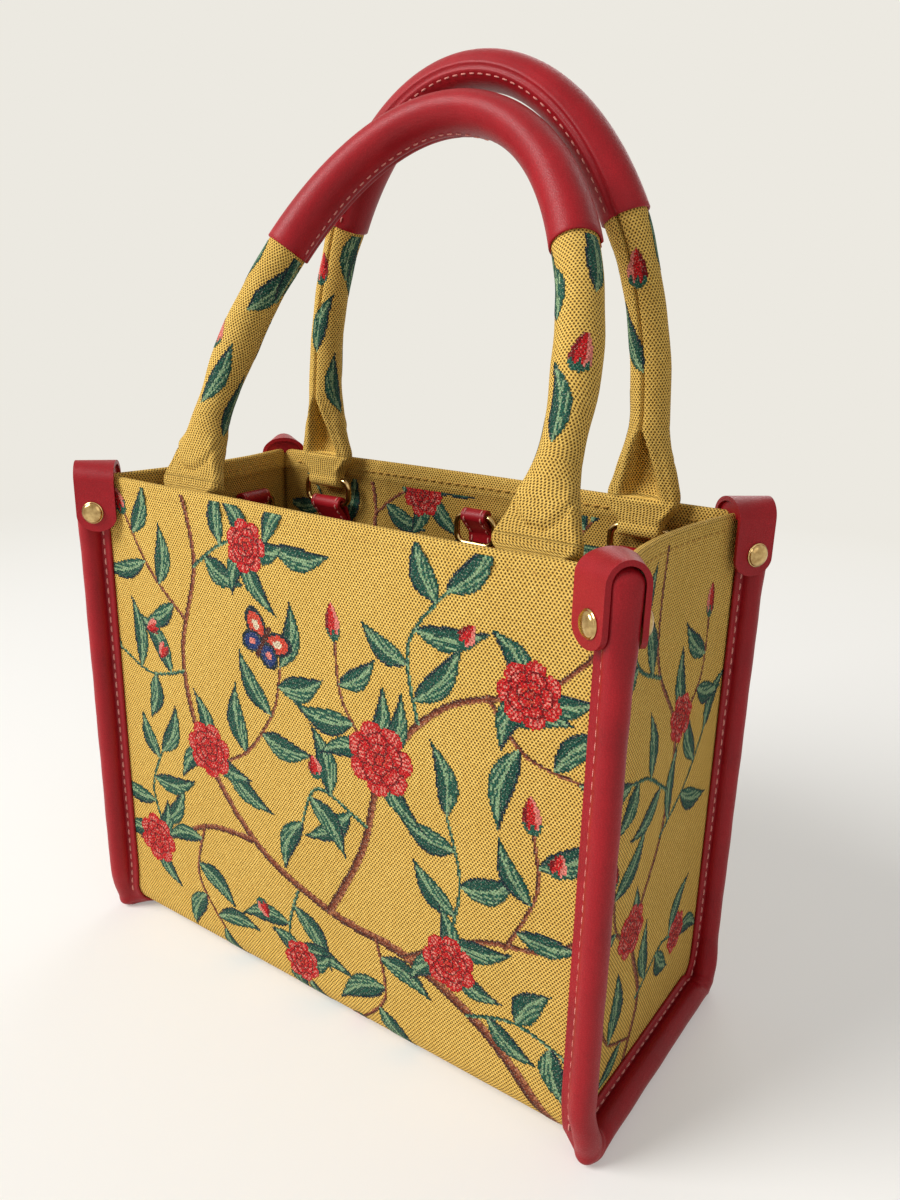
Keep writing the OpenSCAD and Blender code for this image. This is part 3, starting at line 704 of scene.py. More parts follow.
def build_tab(sx, sy, name):
    """Leather tab folded over the top of a bound seam, with rounded ends."""
    rings = []
    saddle = np.linspace(0, PI, 25)
    for a in np.linspace(-PI / 2, PI / 2, 25):
        s, end_z = TAB_MID + math.sin(a) * TAB_W / 2, TAB_END + TAB_ROUND * (1 - math.cos(a))
        middle_z, ring = (end_z + TAB_SPRING) / 2, []
        inner = tab_half(s)
        for half, rise, arc in ((inner + TAB_SKIN, TAB_RISE + TAB_T, saddle), (inner, TAB_RISE, saddle[::-1])):
            first = half if arc[0] == 0 else -half
            ring += [(s, first, end_z), (s, first, middle_z)]
            ring += [(s, half * math.cos(t), TAB_SPRING + rise * math.sin(t)) for t in arc]
            ring += [(s, -first, middle_z), (s, -first, end_z)]
        rings.append(ring)
    rings = np.array(rings)
    n = rings.shape[1]
    piece = Piece()
    piece.grid(placed(rings, corner_matrix(sx, sy)), wrap_cols=True)
    last = (len(rings) - 1) * n
    for i in range(n // 2 - 1):
        strip = [i, n - 1 - i, n - 2 - i, i + 1]
        piece.cap(strip)
        piece.cap([last + k for k in strip])
    s = TAB_MID - TAB_W / 2 + WEB_IN
    wide, high = tab_half(s) + WEB_INTO, TAB_RISE + WEB_INTO
    web = np.array([[(at, wide * math.cos(t), TAB_SPRING + high * math.sin(t)) for t in saddle]
                    for at in (s, s + WEB_T)])
    first = piece.count
    piece.grid(placed(web, corner_matrix(sx, sy)))
    for row in (0, 1):
        piece.cap([first + row * len(saddle) + k for k in range(len(saddle))])
    piece.cap([first, first + len(saddle) - 1, first + 2 * len(saddle) - 1, first + len(saddle)])
    piece.build(f"Tab_{name}", LEATHER, "bag", "leather", [f"corner_tab_{name}"], bevel=WORN_TAB)


def lathe(piece, profile, matrix, sides=40):
    """Turns a profile of radius and height about Z; its first and last points lie on the axis."""
    ang = ring_angles(sides)
    inner = np.array(profile[1:-1])
    ring = np.stack([np.outer(np.cos(ang), inner[:, 0]), np.outer(np.sin(ang), inner[:, 0]),
                     np.broadcast_to(inner[:, 1], (sides, len(inner)))], -1)
    first, cols = piece.count, len(inner)
    piece.grid(placed(ring, matrix), wrap_rows=True)
    for (r, h), j in ((profile[0], 0), (profile[-1], cols - 1)):
        tip = piece.count
        piece.add(placed(np.array([[r, 0, h]]), matrix), [])
        for i in range(sides):
            piece.cap([first + i * cols + j, first + (i + 1) % sides * cols + j, tip])


def build_rivet(sx, sy, name):
    """Domed rivet caps on both legs of a tab, each with a pressed rim, and the post between them."""
    cap_y = tab_half(RIVET_S) + TAB_SKIN
    rim, dome = CAP_H * CAP_RIM, CAP_H * (1 - CAP_RIM)
    profile = [(0, -0.2), (CAP_R - 0.3, -0.2), (CAP_R, 0.05), (CAP_R + 0.02, rim * 0.6), (CAP_R - 0.16, rim),
               (CAP_R - 0.4, rim + 0.06)]
    profile += [((CAP_R - 0.4) * math.cos(a), rim + 0.1 + (dome - 0.1) * math.sin(a))
                for a in np.linspace(0.12, PI / 2, 12)[:-1]]
    profile += [(0, CAP_H)]
    piece = Piece()
    base = corner_matrix(sx, sy) @ move(RIVET_S, 0, RIVET_Z)
    for side in (-1, 1):
        out = base @ move(0, side * cap_y, 0) @ turn(-TAB_SPLAY * side, "Z") @ turn(-PI / 2 * side, "X")
        lathe(piece, profile, out)
    post = [(0, -cap_y), (POST_R, -cap_y), (POST_R, cap_y), (0, cap_y)]
    lathe(piece, post, base @ turn(PI / 2, "X"), 16)
    piece.build(f"Rivet_{name}", GOLD, "bag", "gold", [f"rivet_{name}"])


# Rings and loops

WIRE_SIDES = 14
# Stitches of a loop: distance from its edges, heights of the rows above its lower end
LOOP_INSET, LOOP_ROWS, ROW_POINTS = 1.7, (2.2, 6.2), 8
# Net beside a loop's edges, where it starts to follow the lining, over what length, and how far on the gussets
LOOP_EDGE, SETTLE_FROM, SETTLE_RUN, SIDE_SETTLE = 1.2, 2.0, 8.0, 0.5


def build_ring(name, body, free_w, pitch, matrix):
    """Ring of round wire that hangs by its upper bar at the origin."""
    side_x = free_w / 2 + WIRE_R
    bar, low = side_x - RING_CORNER_R, RING_CORNER_R - pitch
    path = []
    for k, (cx, cz) in enumerate([(bar, -RING_CORNER_R), (-bar, -RING_CORNER_R), (-bar, low), (bar, low)]):
        for a in np.linspace(0, PI / 2, 9):
            t = a + k * PI / 2
            path.append((cx + RING_CORNER_R * math.cos(t), cz + RING_CORNER_R * math.sin(t), math.cos(t), math.sin(t)))
    ang = ring_angles(WIRE_SIDES)
    rows = [[(x + nx * WIRE_R * math.cos(a), WIRE_R * math.sin(a), z + nz * WIRE_R * math.cos(a)) for a in ang]
            for x, z, nx, nz in path]
    piece = Piece()
    piece.grid(placed(np.array(rows), matrix), wrap_rows=True, wrap_cols=True)
    piece.build(name, GOLD, body, "gold", [name.lower()])


def loop_path(length):
    """Middle line of a leather strip folded over a bar at the origin, in depth and height, from front to back."""
    half = LOOP_T / 2
    front, back = LOOP_OUT - LAYER_GAP - LOOP_T - half, LOOP_OUT - LAYER_GAP - half
    r = BORE_R + half
    knots = [(front, -length), (front, -length * 0.6), (front, -LOOP_OUT * 1.7), (front - 0.35, -LOOP_OUT * 1.4)]
    over = [(-r * math.cos(a), r * math.sin(a)) for a in np.linspace(-0.55, PI + 0.12, 22)]
    down = [(back, -LOOP_OUT * 1.35), (back, -length * 0.6), (back, -length)]
    return np.array(knots + over + down)


def build_loop(name, width, length, matrix, wave):
    """Leather strip folded over a bar and sewn down on the lining towards +Y."""
    path = loop_path(length)
    tangent = np.gradient(path, axis=0)
    tangent /= np.linalg.norm(tangent, axis=1)[:, None]
    normal = np.stack([-tangent[:, 1], tangent[:, 0]], 1)
    half, flat = width / 2, width / 2 - LOOP_EDGE
    x = np.array([-half, -flat, 0, flat, half])

    def spots(line, at):
        return np.stack(np.broadcast_arrays(at[None, :], line[:, :1], line[:, 1:]), -1)

    def settled(points):
        """The sewn part follows the soft lining behind it."""
        share = smooth((-points[..., 2] - SETTLE_FROM) / SETTLE_RUN)
        points = points.copy()
        points[..., 1] += wave * share
        return placed(points, matrix)

    outside, inside = path + normal * LOOP_T / 2, path - normal * LOOP_T / 2
    piece = Piece()
    section = np.concatenate([outside, inside[::-1]])
    piece.grid(settled(spots(section, x)), wrap_rows=True)
    n, cols = len(section), len(x)
    for i in range(n // 2 - 1):
        for j in (0, cols - 1):
            piece.cap([k * cols + j for k in (i, n - 1 - i, n - 2 - i, i + 1)])
    piece.build(name, LEATHER, "bag", "leather", [name.lower()], bevel=WORN_LOOP)
    thread = Piece()
    front = len(path) // 2 + 2
    seen, away = outside[:front], normal[:front]
    low = np.array(matrix)[:3, :3]
    edge = width / 2 - LOOP_INSET
    for at in (-edge, edge):
        line = settled(spots(seen, np.array([at]))[:, 0])
        directions = np.stack([np.zeros(len(seen)), away[:, 0], away[:, 1]], 1) @ low.T
        sew(thread, line, directions, 1.5, 0.5, length=2.4, gap=1.3)
    for row in LOOP_ROWS:
        at = np.linspace(-edge, edge, ROW_POINTS)
        line = np.stack([at, np.full(ROW_POINTS, seen[0, 0]), np.full(ROW_POINTS, row - length)], 1)
        directions = np.tile(np.array([0, away[0, 0], away[0, 1]]) @ low.T, (ROW_POINTS, 1))
        sew(thread, settled(line), directions, 0.6, 0.6, length=2.2, gap=1.2)
    thread.build(f"{name}_stitches", PINK_THREAD, "bag", "leather")


# Handles

def handle_stations():
    """Everything that changes along a handle, as arrays by the length along it."""
    eye = np.sin(np.linspace(-1.43, 0.62, 16))
    eye_rows = [(RING_PITCH + FOLD_OUT_R * k, FOLD_W / 2, FOLD_OUT_R * math.sqrt(1 - k * k), 1.0) for k in eye]
    flare = [(0.14, 0.4, 0, 0.9), (0.24, 0.8, 0, 0.7), (0.32, 0.95, 0.05, 0.5), (0.38, 1, 0.1, 0.4),
             (0.6, 0.72, 0.42, 0.15), (0.8, 0.3, 0.78, 0), (1, 0, 1, 0), (1.3, 0, 1, 0)]
    flare_rows = [(RING_PITCH + LEG_L * f, TUBE_R + (STRIP_W / 2 - TUBE_R) * w, END_T / 2 + (TUBE_R - END_T / 2) * r, q)
                  for f, w, r, q in flare]
    knots = np.array(eye_rows[-1:] + flare_rows)
    fine = np.arange(knots[0, 0], knots[-1, 0], 0.8)
    soft = np.stack([np.interp(fine, knots[:, 0], knots[:, i]) for i in (1, 2, 3)], 1)
    for _ in range(6):
        soft[1:-1] = (soft[:-2] + 2 * soft[1:-1] + soft[2:]) / 4
    rows = eye_rows[:-1] + [(h, *v) for h, v in zip(fine, soft) if h < RING_PITCH + LEG_L]
    leg = [(-HANDLE_X, h, -1.0, 0.0, w, t, q, h, 0.0) for h, w, t, q in rows]
    arch = []
    top = RING_PITCH + LEG_L
    for a in np.linspace(0, PI / 2, 56):
        out = np.array([-ARCH_H * math.cos(a), HANDLE_X * math.sin(a)])
        out /= np.linalg.norm(out)
        h = top + ARCH_H * math.sin(a)
        arch.append((-HANDLE_X * math.cos(a), h, out[0], out[1], TUBE_R, TUBE_R, 0.0, h, ARCH_PRESS * math.sin(a) ** 3))
    half = leg + arch
    whole = np.array(half + [(-x, z, -ox, *rest) for x, z, ox, *rest in half[-2::-1]])
    return gone_along(whole[:, :2]), whole


ALONG, STATIONS = handle_stations()
HANDLE_L, HANDLE_SIDES = ALONG[-1], 64
# Inner side of a handle's end: the band below, the open fold above it, its lips, and the hems at the edges
BAND_TOP, BAND_T, BAND_SOFT = 22.5, 1.1, 0.7
OPEN_TOP, OPEN_HALF, OPEN_DEPTH, OPEN_POINT, OPEN_SOFT, OPEN_START, OPEN_FADE = 48.0, 8.6, 6.4, 0.75, 0.6, 0.8, 6.0
LIP_T, LIP_W, EDGE_T, EDGE_W, EDGE_IN, CLOTH_LEFT = 1.2, 1.25, 0.75, 1.2, 1.3, 1.4
HANDLES = {"front": (move(0, -PIVOT_Y, PIVOT_Z) @ turn(FRONT_LEAN, "X"), 1),
           "rear": (move(0, PIVOT_Y, PIVOT_Z) @ turn(REAR_LEAN, "X"), -1)}
LEFT_TWIST, RIGHT_TWIST = {"front": 1.06, "rear": 0.0}, {"front": -0.95, "rear": 0.0}
# Where across the bag the seam turns from one side to the other, and how far above the open fold the twist starts
TWIST_X, TWIST_RUN, TWIST_UP, TWIST_EASE = -5.0, 65.0, 4.0, 40.0


def seam_twist(x, h, which):
    """How far the seam turns round the tube from its inner side; the base of a handle isn't twisted."""
    left, right = LEFT_TWIST[which], RIGHT_TWIST[which]
    return (left + (right - left) * smooth((x - TWIST_X) / TWIST_RUN)) * smooth((h - OPEN_TOP - TWIST_UP) / TWIST_EASE)


def drawn_square(value, square):
    return np.sign(value) * np.abs(value) ** (1 - 0.6 * square)


# Where the tube is slimmer above its flat end, how much slimmer the rear legs are, how far the end spreads at the rim,
# and the padding's curved lower edge on the outer side of the end
NECK, NECK_AT, NECK_L, REAR_SLIM, GRIP_NEAR = 0.12, 56.0, 13.0, 0.12, 16.0
SPREAD, SPREAD_AT, SPREAD_FROM, SPREAD_L = {"front": 3.0, "rear": 1.3}, 21.0, 7.0, 6.0
PAD_LOW, PAD_RISE, PAD_T, PAD_SOFT, PAD_FOLD, PAD_FOLD_W, PAD_L = 3.0, 12.0, 0.75, 2.5, 0.8, 0.9, 22.0
# Where the end counts as flat, how softly its sides meet, and a height above all cloth for the leather sleeve
FLAT_FROM, FLAT_RUN, SIDE_SOFT, ABOVE_ALL = 0.8, 2.0, 0.35, 999.0
# Seams: the cloth's groove, and the sleeve's ridges on both sides of its own
SEAM_T, SEAM_W, SLEEVE_RIDGE, SLEEVE_RIDGE_AT, SLEEVE_RIDGE_W, SLEEVE_T, SLEEVE_W = 0.9, 0.6, 0.4, 1.5, 1.0, 0.75, 0.55


def slimmer(w, t, h, along, which):
    """Half width and half thickness of the cloth tube, slim at its neck and spread at the rim."""
    clear = smooth((arch_along(GRIP_FROM) - np.minimum(along, HANDLE_L - along)) / GRIP_NEAR)
    less = NECK * hump(h - NECK_AT, NECK_L)
    if which == "rear":
        less = np.maximum(less, REAR_SLIM * smooth((h - OPEN_TOP + OPEN_FADE) / (2 * OPEN_FADE)))
    spread = SPREAD[which] * hump(h - SPREAD_AT, SPREAD_L) * smooth((h - SPREAD_AT + SPREAD_FROM) / SPREAD_L)
    return w * (1 - clear * less) + spread, t * (1 - clear * less)


def handle_point(angle, along, which, lift=0.0, radius=None):
    """Place on a handle; the angle starts at its outer side and its seam lies on its inner side, at a quarter turn."""
    px, pz, ox, oz, w, t, q, h, press = (np.interp(along, ALONG, STATIONS[:, i]) for i in range(9))
    c, s = np.cos(angle), np.sin(angle)
    cloth = radius is None
    if cloth:
        w, t = slimmer(w, t, h, along, which)
    else:
        w = t = np.broadcast_to(radius, w.shape)
        h = np.full_like(h, ABOVE_ALL)
    lump = 1 + (0.018 * np.sin(along / 7.3 + 2 * angle) + 0.012 * np.sin(along / 3.1 - angle)) * cloth
    across = (w * lump - press + lift) * drawn_square(c, q)
    depth = (t * lump + lift) * drawn_square(s, q)
    turned = angle - seam_twist(px, h, which)
    from_seam, by_seam = (w + lift) * np.cos(turned), smooth(np.sin(turned) / SIDE_SOFT)
    if cloth:
        up = np.clip((h - BAND_TOP) / (OPEN_TOP - BAND_TOP), 0, 1)
        reach = np.where(h > BAND_TOP, OPEN_HALF * (1 - up) ** OPEN_POINT, 0.0)
        hollow = smooth((1 - np.abs(across) / np.maximum(reach, 0.01)) / OPEN_SOFT)
        hollow = hollow * smooth((h - BAND_TOP) / OPEN_START)
        lips = hump(np.abs(across) - reach - LIP_W, LIP_W) * (h > BAND_TOP)
        lips = lips * smooth((OPEN_TOP + OPEN_FADE - h) / (2 * OPEN_FADE))
        band = 1 - smooth((h - BAND_TOP + BAND_SOFT) / BAND_SOFT)
        deep = np.minimum(OPEN_DEPTH, 2 * t - CLOTH_LEFT)
        flat = smooth((w - TUBE_R - FLAT_FROM) / FLAT_RUN)
        edge = hump(w - np.abs(across) - EDGE_IN * EDGE_W, EDGE_W) * flat
        depth = depth + smooth(s / SIDE_SOFT) * (LIP_T * lips - deep * hollow + BAND_T * band)
        depth = depth + EDGE_T * edge * np.where(s > 0, 1, -1 if which == "front" else 0)
        line = h - BAND_TOP - PAD_LOW - PAD_RISE * (across / w) ** 2
        pad = PAD_T * smooth(line / PAD_SOFT) * smooth((PAD_L - line) / PAD_L) - PAD_FOLD * hump(line, PAD_FOLD_W)
        depth = depth - smooth(-s / SIDE_SOFT) * pad * flat
        ridge = -SEAM_T * hump(from_seam, SEAM_W) * smooth((h - OPEN_TOP + OPEN_FADE) / OPEN_FADE)
    else:
        ridge = SLEEVE_RIDGE * hump(np.abs(from_seam) - SLEEVE_RIDGE_AT, SLEEVE_RIDGE_W)
        ridge = ridge - SLEEVE_T * hump(from_seam, SLEEVE_W)
    across, depth = across + ridge * by_seam * c, depth + ridge * by_seam * s
    matrix, side = HANDLES[which]
    return placed(np.stack(np.broadcast_arrays(px + ox * across, side * depth, pz + oz * across), -1), matrix)


def build_handle(which):
    points = handle_point(ring_angles(HANDLE_SIDES)[:, None], ALONG[None, :], which)
    piece = Piece()
    steps = np.linalg.norm(np.diff(points, axis=0, append=points[:1]), axis=2)
    around = np.vstack([np.zeros((1, len(ALONG))), np.cumsum(steps, axis=0)])
    piece.grid(points, around, ALONG[None, :], wrap_rows=True)
    end_caps(piece, HANDLE_SIDES, len(ALONG))
    tube = piece.build(f"Handle_{which}", TAPESTRY, f"{which}_handle", "tapestry", [f"{which}_handle"], bake=True)


def arch_along(angle):
    """Length along a handle at an angle along its arch, from the left."""
    x = -HANDLE_X * math.cos(angle)
    half = len(ALONG) // 2 + 1
    left = np.interp(-abs(x), STATIONS[:half, 0], ALONG[:half])
    return left if x < 0 else HANDLE_L - left


# Rows of the sleeve outside and inside, length of its rolled ends, and distance of the stitches from its seam
GRIP_ROWS, GRIP_ROWS_IN, GRIP_ROLL, GRIP_STITCH = 110, 40, 2.5, 3.2


def build_grip(which):
    """Leather sleeve with rolled ends and a stitched seam on the inner side."""
    start = arch_along(GRIP_FROM)
    inner, outer = TUBE_R + LAYER_GAP, TUBE_R + LAYER_GAP + GRIP_T
    ends = [(0.5, inner), (0.0, inner + 0.25), (0.0, outer - 0.3), (0.35, outer)]
    low, high = start + GRIP_ROLL, HANDLE_L - start - GRIP_ROLL
    along = np.concatenate([[start + e for e, _ in ends], np.linspace(low, high, GRIP_ROWS),
                            [HANDLE_L - start - e for e, _ in ends[::-1]], np.linspace(high, low, GRIP_ROWS_IN)])
    radius = np.concatenate([[r for _, r in ends], np.full(GRIP_ROWS, outer),
                             [r for _, r in ends[::-1]], np.full(GRIP_ROWS_IN, inner)])
    points = handle_point(ring_angles(HANDLE_SIDES)[:, None], along[None, :], which, radius=radius[None, :])
    piece = Piece()
    piece.grid(points, wrap_rows=True, wrap_cols=True)
    piece.build(f"Grip_{which}", LEATHER, f"{which}_handle", "leather", [f"{which}_grip"])
    thread = Piece()
    run = np.linspace(start + 1, HANDLE_L - start - 1, 140)
    aside = PI / 2 + GRIP_STITCH / outer + seam_twist(np.interp(run, ALONG, STATIONS[:, 0]), HANDLE_L, which)
    line = handle_point(aside, run, which, radius=outer)
    above = handle_point(aside, run, which, radius=outer + 1)
    sew(thread, line, above - line, 1.5, 1.5, radius=FINE_R, length=2.2)
    thread.build(f"Grip_stitches_{which}", PINK_THREAD, f"{which}_handle", "leather")


# Woven motifs: leaves, blossoms, buds and branches, drawn thread by thread

YARNS = [(0, 0, 0), (24, 74, 62), (36, 92, 74), (140, 172, 128), (18, 40, 50), (204, 26, 30), (130, 12, 20),
         (236, 132, 118), (238, 218, 184), (134, 66, 42), (84, 38, 28), (184, 116, 76), (34, 58, 112), (216, 70, 48)]
(NONE, GREEN, LEAF, PALE, DARK, RED, MAROON, PINK, CREAM, BROWN, BARK, TAN, BLUE, CORAL) = range(len(YARNS))
# Size of a thread in the motifs, and how far they lie above the cloth
THREADS, YARN_LIFT = 0.72, 0.12


class Loom:
    """A net of threads over a cloth's places, each with the number of its yarn."""

    def __init__(self, low, high):
        self.low, self.shape = np.array(low, float), np.ceil((np.array(high) - low) / THREADS).astype(int)
        u = self.low[0] + (np.arange(self.shape[0]) + 0.5) * THREADS
        v = self.low[1] + (np.arange(self.shape[1]) + 0.5) * THREADS
        self.u, self.v = np.meshgrid(u, v, indexing="ij")
        self.ink = np.zeros(self.shape, int)

    def lay(self, inside, ink):
        self.ink = np.where(inside, ink, self.ink)

    def local(self, base, angle):
        """Lengths along and across a direction from a base."""
        du, dv = self.u - base[0], self.v - base[1]
        c, s = math.cos(angle), math.sin(angle)
        return du * c + dv * s, dv * c - du * s

    def leaf(self, base, angle, length, width, curl=0.12):
        """Pointed leaf with a light rib, hatched on one half and dark on the other."""
        a, b = self.local(base, angle)
        t = a / length
        b = b - curl * length * np.sin(PI * np.clip(t, 0, 1))
        half = width / 2 * np.sin(PI * np.clip(t, 0, 1) ** 0.74) ** 1.15
        inside = (t > 0) & (t < 1) & (np.abs(b) < half)
        hatch = np.mod(np.abs(b) - 0.16 * a, 1.75) < 0.62
        ink = np.where(b > 0, np.where(hatch, PALE, LEAF), np.where(hatch, LEAF, GREEN))
        ink = np.where(np.abs(b) > half - 0.8, np.where(b > 0, GREEN, DARK), ink)
        ink = np.where((np.abs(b) < 0.5) & (t < 0.85), PALE, ink)
        self.lay(inside, ink)

    def blossom(self, middle, radius, phase=0.0, petals=5):
        """Full blossom of several rounds of petals."""
        du, dv = self.u - middle[0], self.v - middle[1]
        away, angle = np.hypot(du, dv), np.arctan2(dv, du) + phase
        rounds = (1.0, petals + 2, 0.0), (0.72, petals, 0.4), (0.44, petals - 1, 0.15), (0.2, 2, 0.7)
        for share, count, turned in rounds:
            fold = np.mod(angle * count / (2 * PI) + turned, 1.0)
            rim = radius * share * (0.76 + 0.24 * np.sin(PI * fold) ** 0.5)
            ray = np.mod(fold * 6.3 + turned, 1.0)
            ink = np.where((ray < 0.36) & (away > rim * 0.7) & (np.abs(fold - 0.45) < 0.3), PINK, RED)
            ink = np.where((ray > 0.62) & (away < rim * 0.62), CORAL, ink)
            ink = np.where((fold < 0.05) | (fold > 0.95), MAROON, ink)
            ink = np.where(away > rim - 0.75, MAROON if share < 1 else RED, ink)
            self.lay(away < rim, ink)

    def bud(self, base, angle, length, width):
        """Red bud with a green cup."""
        a, b = self.local(base, angle)
        t = a / length
        half = width / 2 * np.sin(PI * np.clip(t, 0, 1) ** 0.7) ** 0.7
        inside = (t > 0) & (t < 1) & (np.abs(b) < half)
        ink = np.where(b > half * 0.35, PINK, np.where(b < -half * 0.5, MAROON, RED))
        ink = np.where(t < 0.24 + 0.1 * np.cos(b * 2.2), LEAF, ink)
        self.lay(inside, ink)

    def branch(self, path, start_w, end_w, hues=(BROWN, BARK, TAN)):
        """Tapering twig through the points of a path; returns a smooth line of points."""
        line = curve(path)
        grow = np.linspace(start_w / 2, end_w / 2, len(line))
        low, high = line.min(0) - start_w, line.max(0) + start_w
        pick = np.nonzero((self.u > low[0]) & (self.u < high[0]) & (self.v > low[1]) & (self.v < high[1]))
        if not len(pick[0]):
            return line
        p = np.stack([self.u[pick], self.v[pick]], 1)
        away = np.full(len(p), 1e9)
        side, place = np.zeros(len(p)), np.zeros(len(p))
        heading = np.gradient(line, axis=0)
        for k, (q, w, d) in enumerate(zip(line, grow, heading)):
            gap = np.hypot(p[:, 0] - q[0], p[:, 1] - q[1]) / w
            nearer = gap < away
            across = ((p[:, 0] - q[0]) * -d[1] + (p[:, 1] - q[1]) * d[0]) / (np.hypot(*d) * w)
            away, side, place = np.where(nearer, gap, away), np.where(nearer, across, side), np.where(nearer, k, place)
        ink = np.where(side < -0.35, hues[1], hues[0])
        ink = np.where((side > 0.3) & (np.mod(place, 5) < 2.6), hues[2], ink)
        inside = away < 1
        self.ink[pick[0][inside], pick[1][inside]] = ink[inside]
        return line

    def spray(self, path, leaf_l, leaf_w, gap, seed, tip="leaf", stem=1.5, spread=0.85):
        """Thin stem with leaves on both sides and a leaf or bud at its tip."""
        line = self.branch(path, stem, stem * 0.75, (LEAF, GREEN, PALE) if seed % 2 else (BROWN, BARK, TAN))
        draw = np.random.default_rng(seed)
        gone = gone_along(line)
        side = 1 if seed % 3 else -1
        at = gap * 0.6
        while at < gone[-1] - gap * 0.3:
            k = int(np.searchsorted(gone, at))
            d = line[min(k + 1, len(line) - 1)] - line[max(k - 1, 0)]
            size = leaf_l * (0.78 + 0.4 * draw.random())
            self.leaf(line[min(k, len(line) - 1)], math.atan2(d[1], d[0]) + side * (spread + 0.3 * draw.random()),
                      size, leaf_w * (0.85 + 0.3 * draw.random()), side * 0.1)
            side, at = -side, at + gap * (0.8 + 0.4 * draw.random())
        d = line[-1] - line[-4]
        heading = math.atan2(d[1], d[0])
        if tip == "bud":
            self.bud(line[-1], heading, leaf_l * 0.5, leaf_w * 0.75)
        else:
            self.leaf(line[-1], heading, leaf_l, leaf_w)

    def butterfly(self, middle, angle, span):
        """Small butterfly with open wings."""
        a, b = self.local(middle, angle)
        for lean, size, wide, hue, spot in ((0.55, 0.52, 0.34, CORAL, CREAM), (-0.6, 0.4, 0.32, BLUE, PINK)):
            for side in (-1, 1):
                c, s = math.cos(lean), math.sin(lean)
                x, y = side * b * c + a * s, a * c - side * b * s
                r = np.hypot((x - span * size / 2) / (span * size / 2), y / (span * wide / 2))
                self.lay(r < 1, np.where(r > 0.74, DARK, np.where(r < 0.3, spot, hue)))
        self.lay((np.abs(b) < span * 0.035) & (np.abs(a) < span * 0.26), BARK)

    def weave(self, name, surface, body, slot):
        """Lays the coloured threads on the cloth as one net per motif."""
        i, j = np.nonzero(self.ink)
        cols = self.shape[1] + 1
        quads = np.stack([i * cols + j, (i + 1) * cols + j, (i + 1) * cols + j + 1, i * cols + j + 1], 1)
        used, index = np.unique(quads, return_inverse=True)
        index = index.reshape(quads.shape)
        u, v = self.low[0] + used // cols * THREADS, self.low[1] + used % cols * THREADS
        points, above = surface(u, v, YARN_LIFT), surface(u, v, YARN_LIFT + 1)
        n = np.cross(points[index[0, 1]] - points[index[0, 0]], points[index[0, 3]] - points[index[0, 0]])
        if n @ (above - points)[index[0, 0]] < 0:
            index = index[:, ::-1]
        places = np.stack([u, v], 1)
        piece = Piece()
        piece.add(points, index.tolist(), places[index].tolist())
        obj = piece.build(name, YARN, body, slot, bake=True, closed=False)
        hues = np.array([srgb(*rgb) for rgb in YARNS])[self.ink[i, j]]
        layer = obj.data.color_attributes.new("Yarn", "FLOAT_COLOR", "CORNER")
        layer.data.foreach_set("color", np.repeat(hues, 4, axis=0).astype(np.float32).ravel())
        return obj


def curve(path, step=0.6):
    """Smooth line through the points of a path."""
    p = np.array([path[0], *path, path[-1]], float)
    line = []
    for a, b, c, d in zip(p, p[1:], p[2:], p[3:]):
        count = max(2, int(np.hypot(*(c - b)) / step))
        t = (np.arange(count) / count)[:, None]
        bend, twist = 2 * a - 5 * b + 4 * c - d, 3 * b - a - 3 * c + d
        line.append(0.5 * (2 * b + (c - a) * t + bend * t ** 2 + twist * t ** 3))
    return np.concatenate(line + [p[-1:]])


def way(put, *points):
    return [put(*p) for p in points]


def heading(put, x, z, degrees):
    """Direction on the cloth of a direction on the face."""
    a = math.radians(degrees)
    step = np.array(put(x + math.cos(a), z + math.sin(a))) - np.array(put(x, z))
    return math.atan2(*step[::-1])


def big_design(loom, put, seed):
    """Flowering branches over a face; put turns a place across and above the bottom edge into the cloth's places."""
    loom.branch(way(put, (104, 6), (78, 30), (44, 46), (8, 50), (-30, 66), (-56, 96), (-66, 134), (-58, 172),
                    (-64, 199)), 4.6, 1.8)
    loom.branch(way(put, (8, 50), (24, 82), (34, 118), (58, 146), (92, 160), (111, 178)), 3.4, 1.6)
    loom.branch(way(put, (44, 46), (74, 66), (98, 72), (112, 84)), 2.8, 1.5)
    loom.branch(way(put, (-30, 66), (-58, 62), (-86, 46), (-104, 40)), 2.8, 1.4)
    sprays = [((-58, 172), (-40, 184), (-16, 186)), ((-64, 150), (-84, 166), (-98, 186)),
              ((-66, 128), (-88, 122), (-106, 128)), ((-52, 92), (-32, 104), (-18, 124), (-14, 142)),
              ((26, 92), (4, 100), (-4, 84)), ((34, 116), (16, 136), (12, 158)),
              ((48, 138), (44, 164), (58, 184)), ((74, 154), (88, 138), (106, 134)),
              ((60, 54), (66, 84), (60, 108)), ((84, 68), (94, 92), (92, 112)),
              ((-8, 52), (-14, 30), (-4, 14)), ((-60, 62), (-66, 36), (-52, 16)),
              ((-84, 46), (-92, 68), (-84, 88)), ((30, 48), (34, 24), (22, 8)),
              ((70, 34), (88, 40), (106, 36))]
    for k, path in enumerate(sprays):
        loom.spray(way(put, *path), 27, 9.0, 12.5, seed + k, "bud" if k % 4 == 1 else "leaf")
    blossoms = ((32, 120, 14), (-54, 98, 12), (88, 158, 11), (-30, 184, 10), (62, 52, 11), (-92, 44, 11.5), (-8, 20, 9))
    for x, z, r in blossoms:
        for k in range(3):
            loom.leaf(put(x, z), heading(put, x, z, 40 + 120 * k + x), r * 2.1, 8.5)
        loom.blossom(put(x, z), r, phase=x)
    buds = ((-80, 144, 200), (-76, 138, 240), (4, 104, 110), (64, 168, 60), (100, 100, 80), (-30, 40, 300))
    for x, z, degrees in buds:
        loom.bud(put(x, z), heading(put, x, z, degrees), 9, 6.5)
    loom.butterfly(put(-22, 150), heading(put, -22, 150, 62), 27)


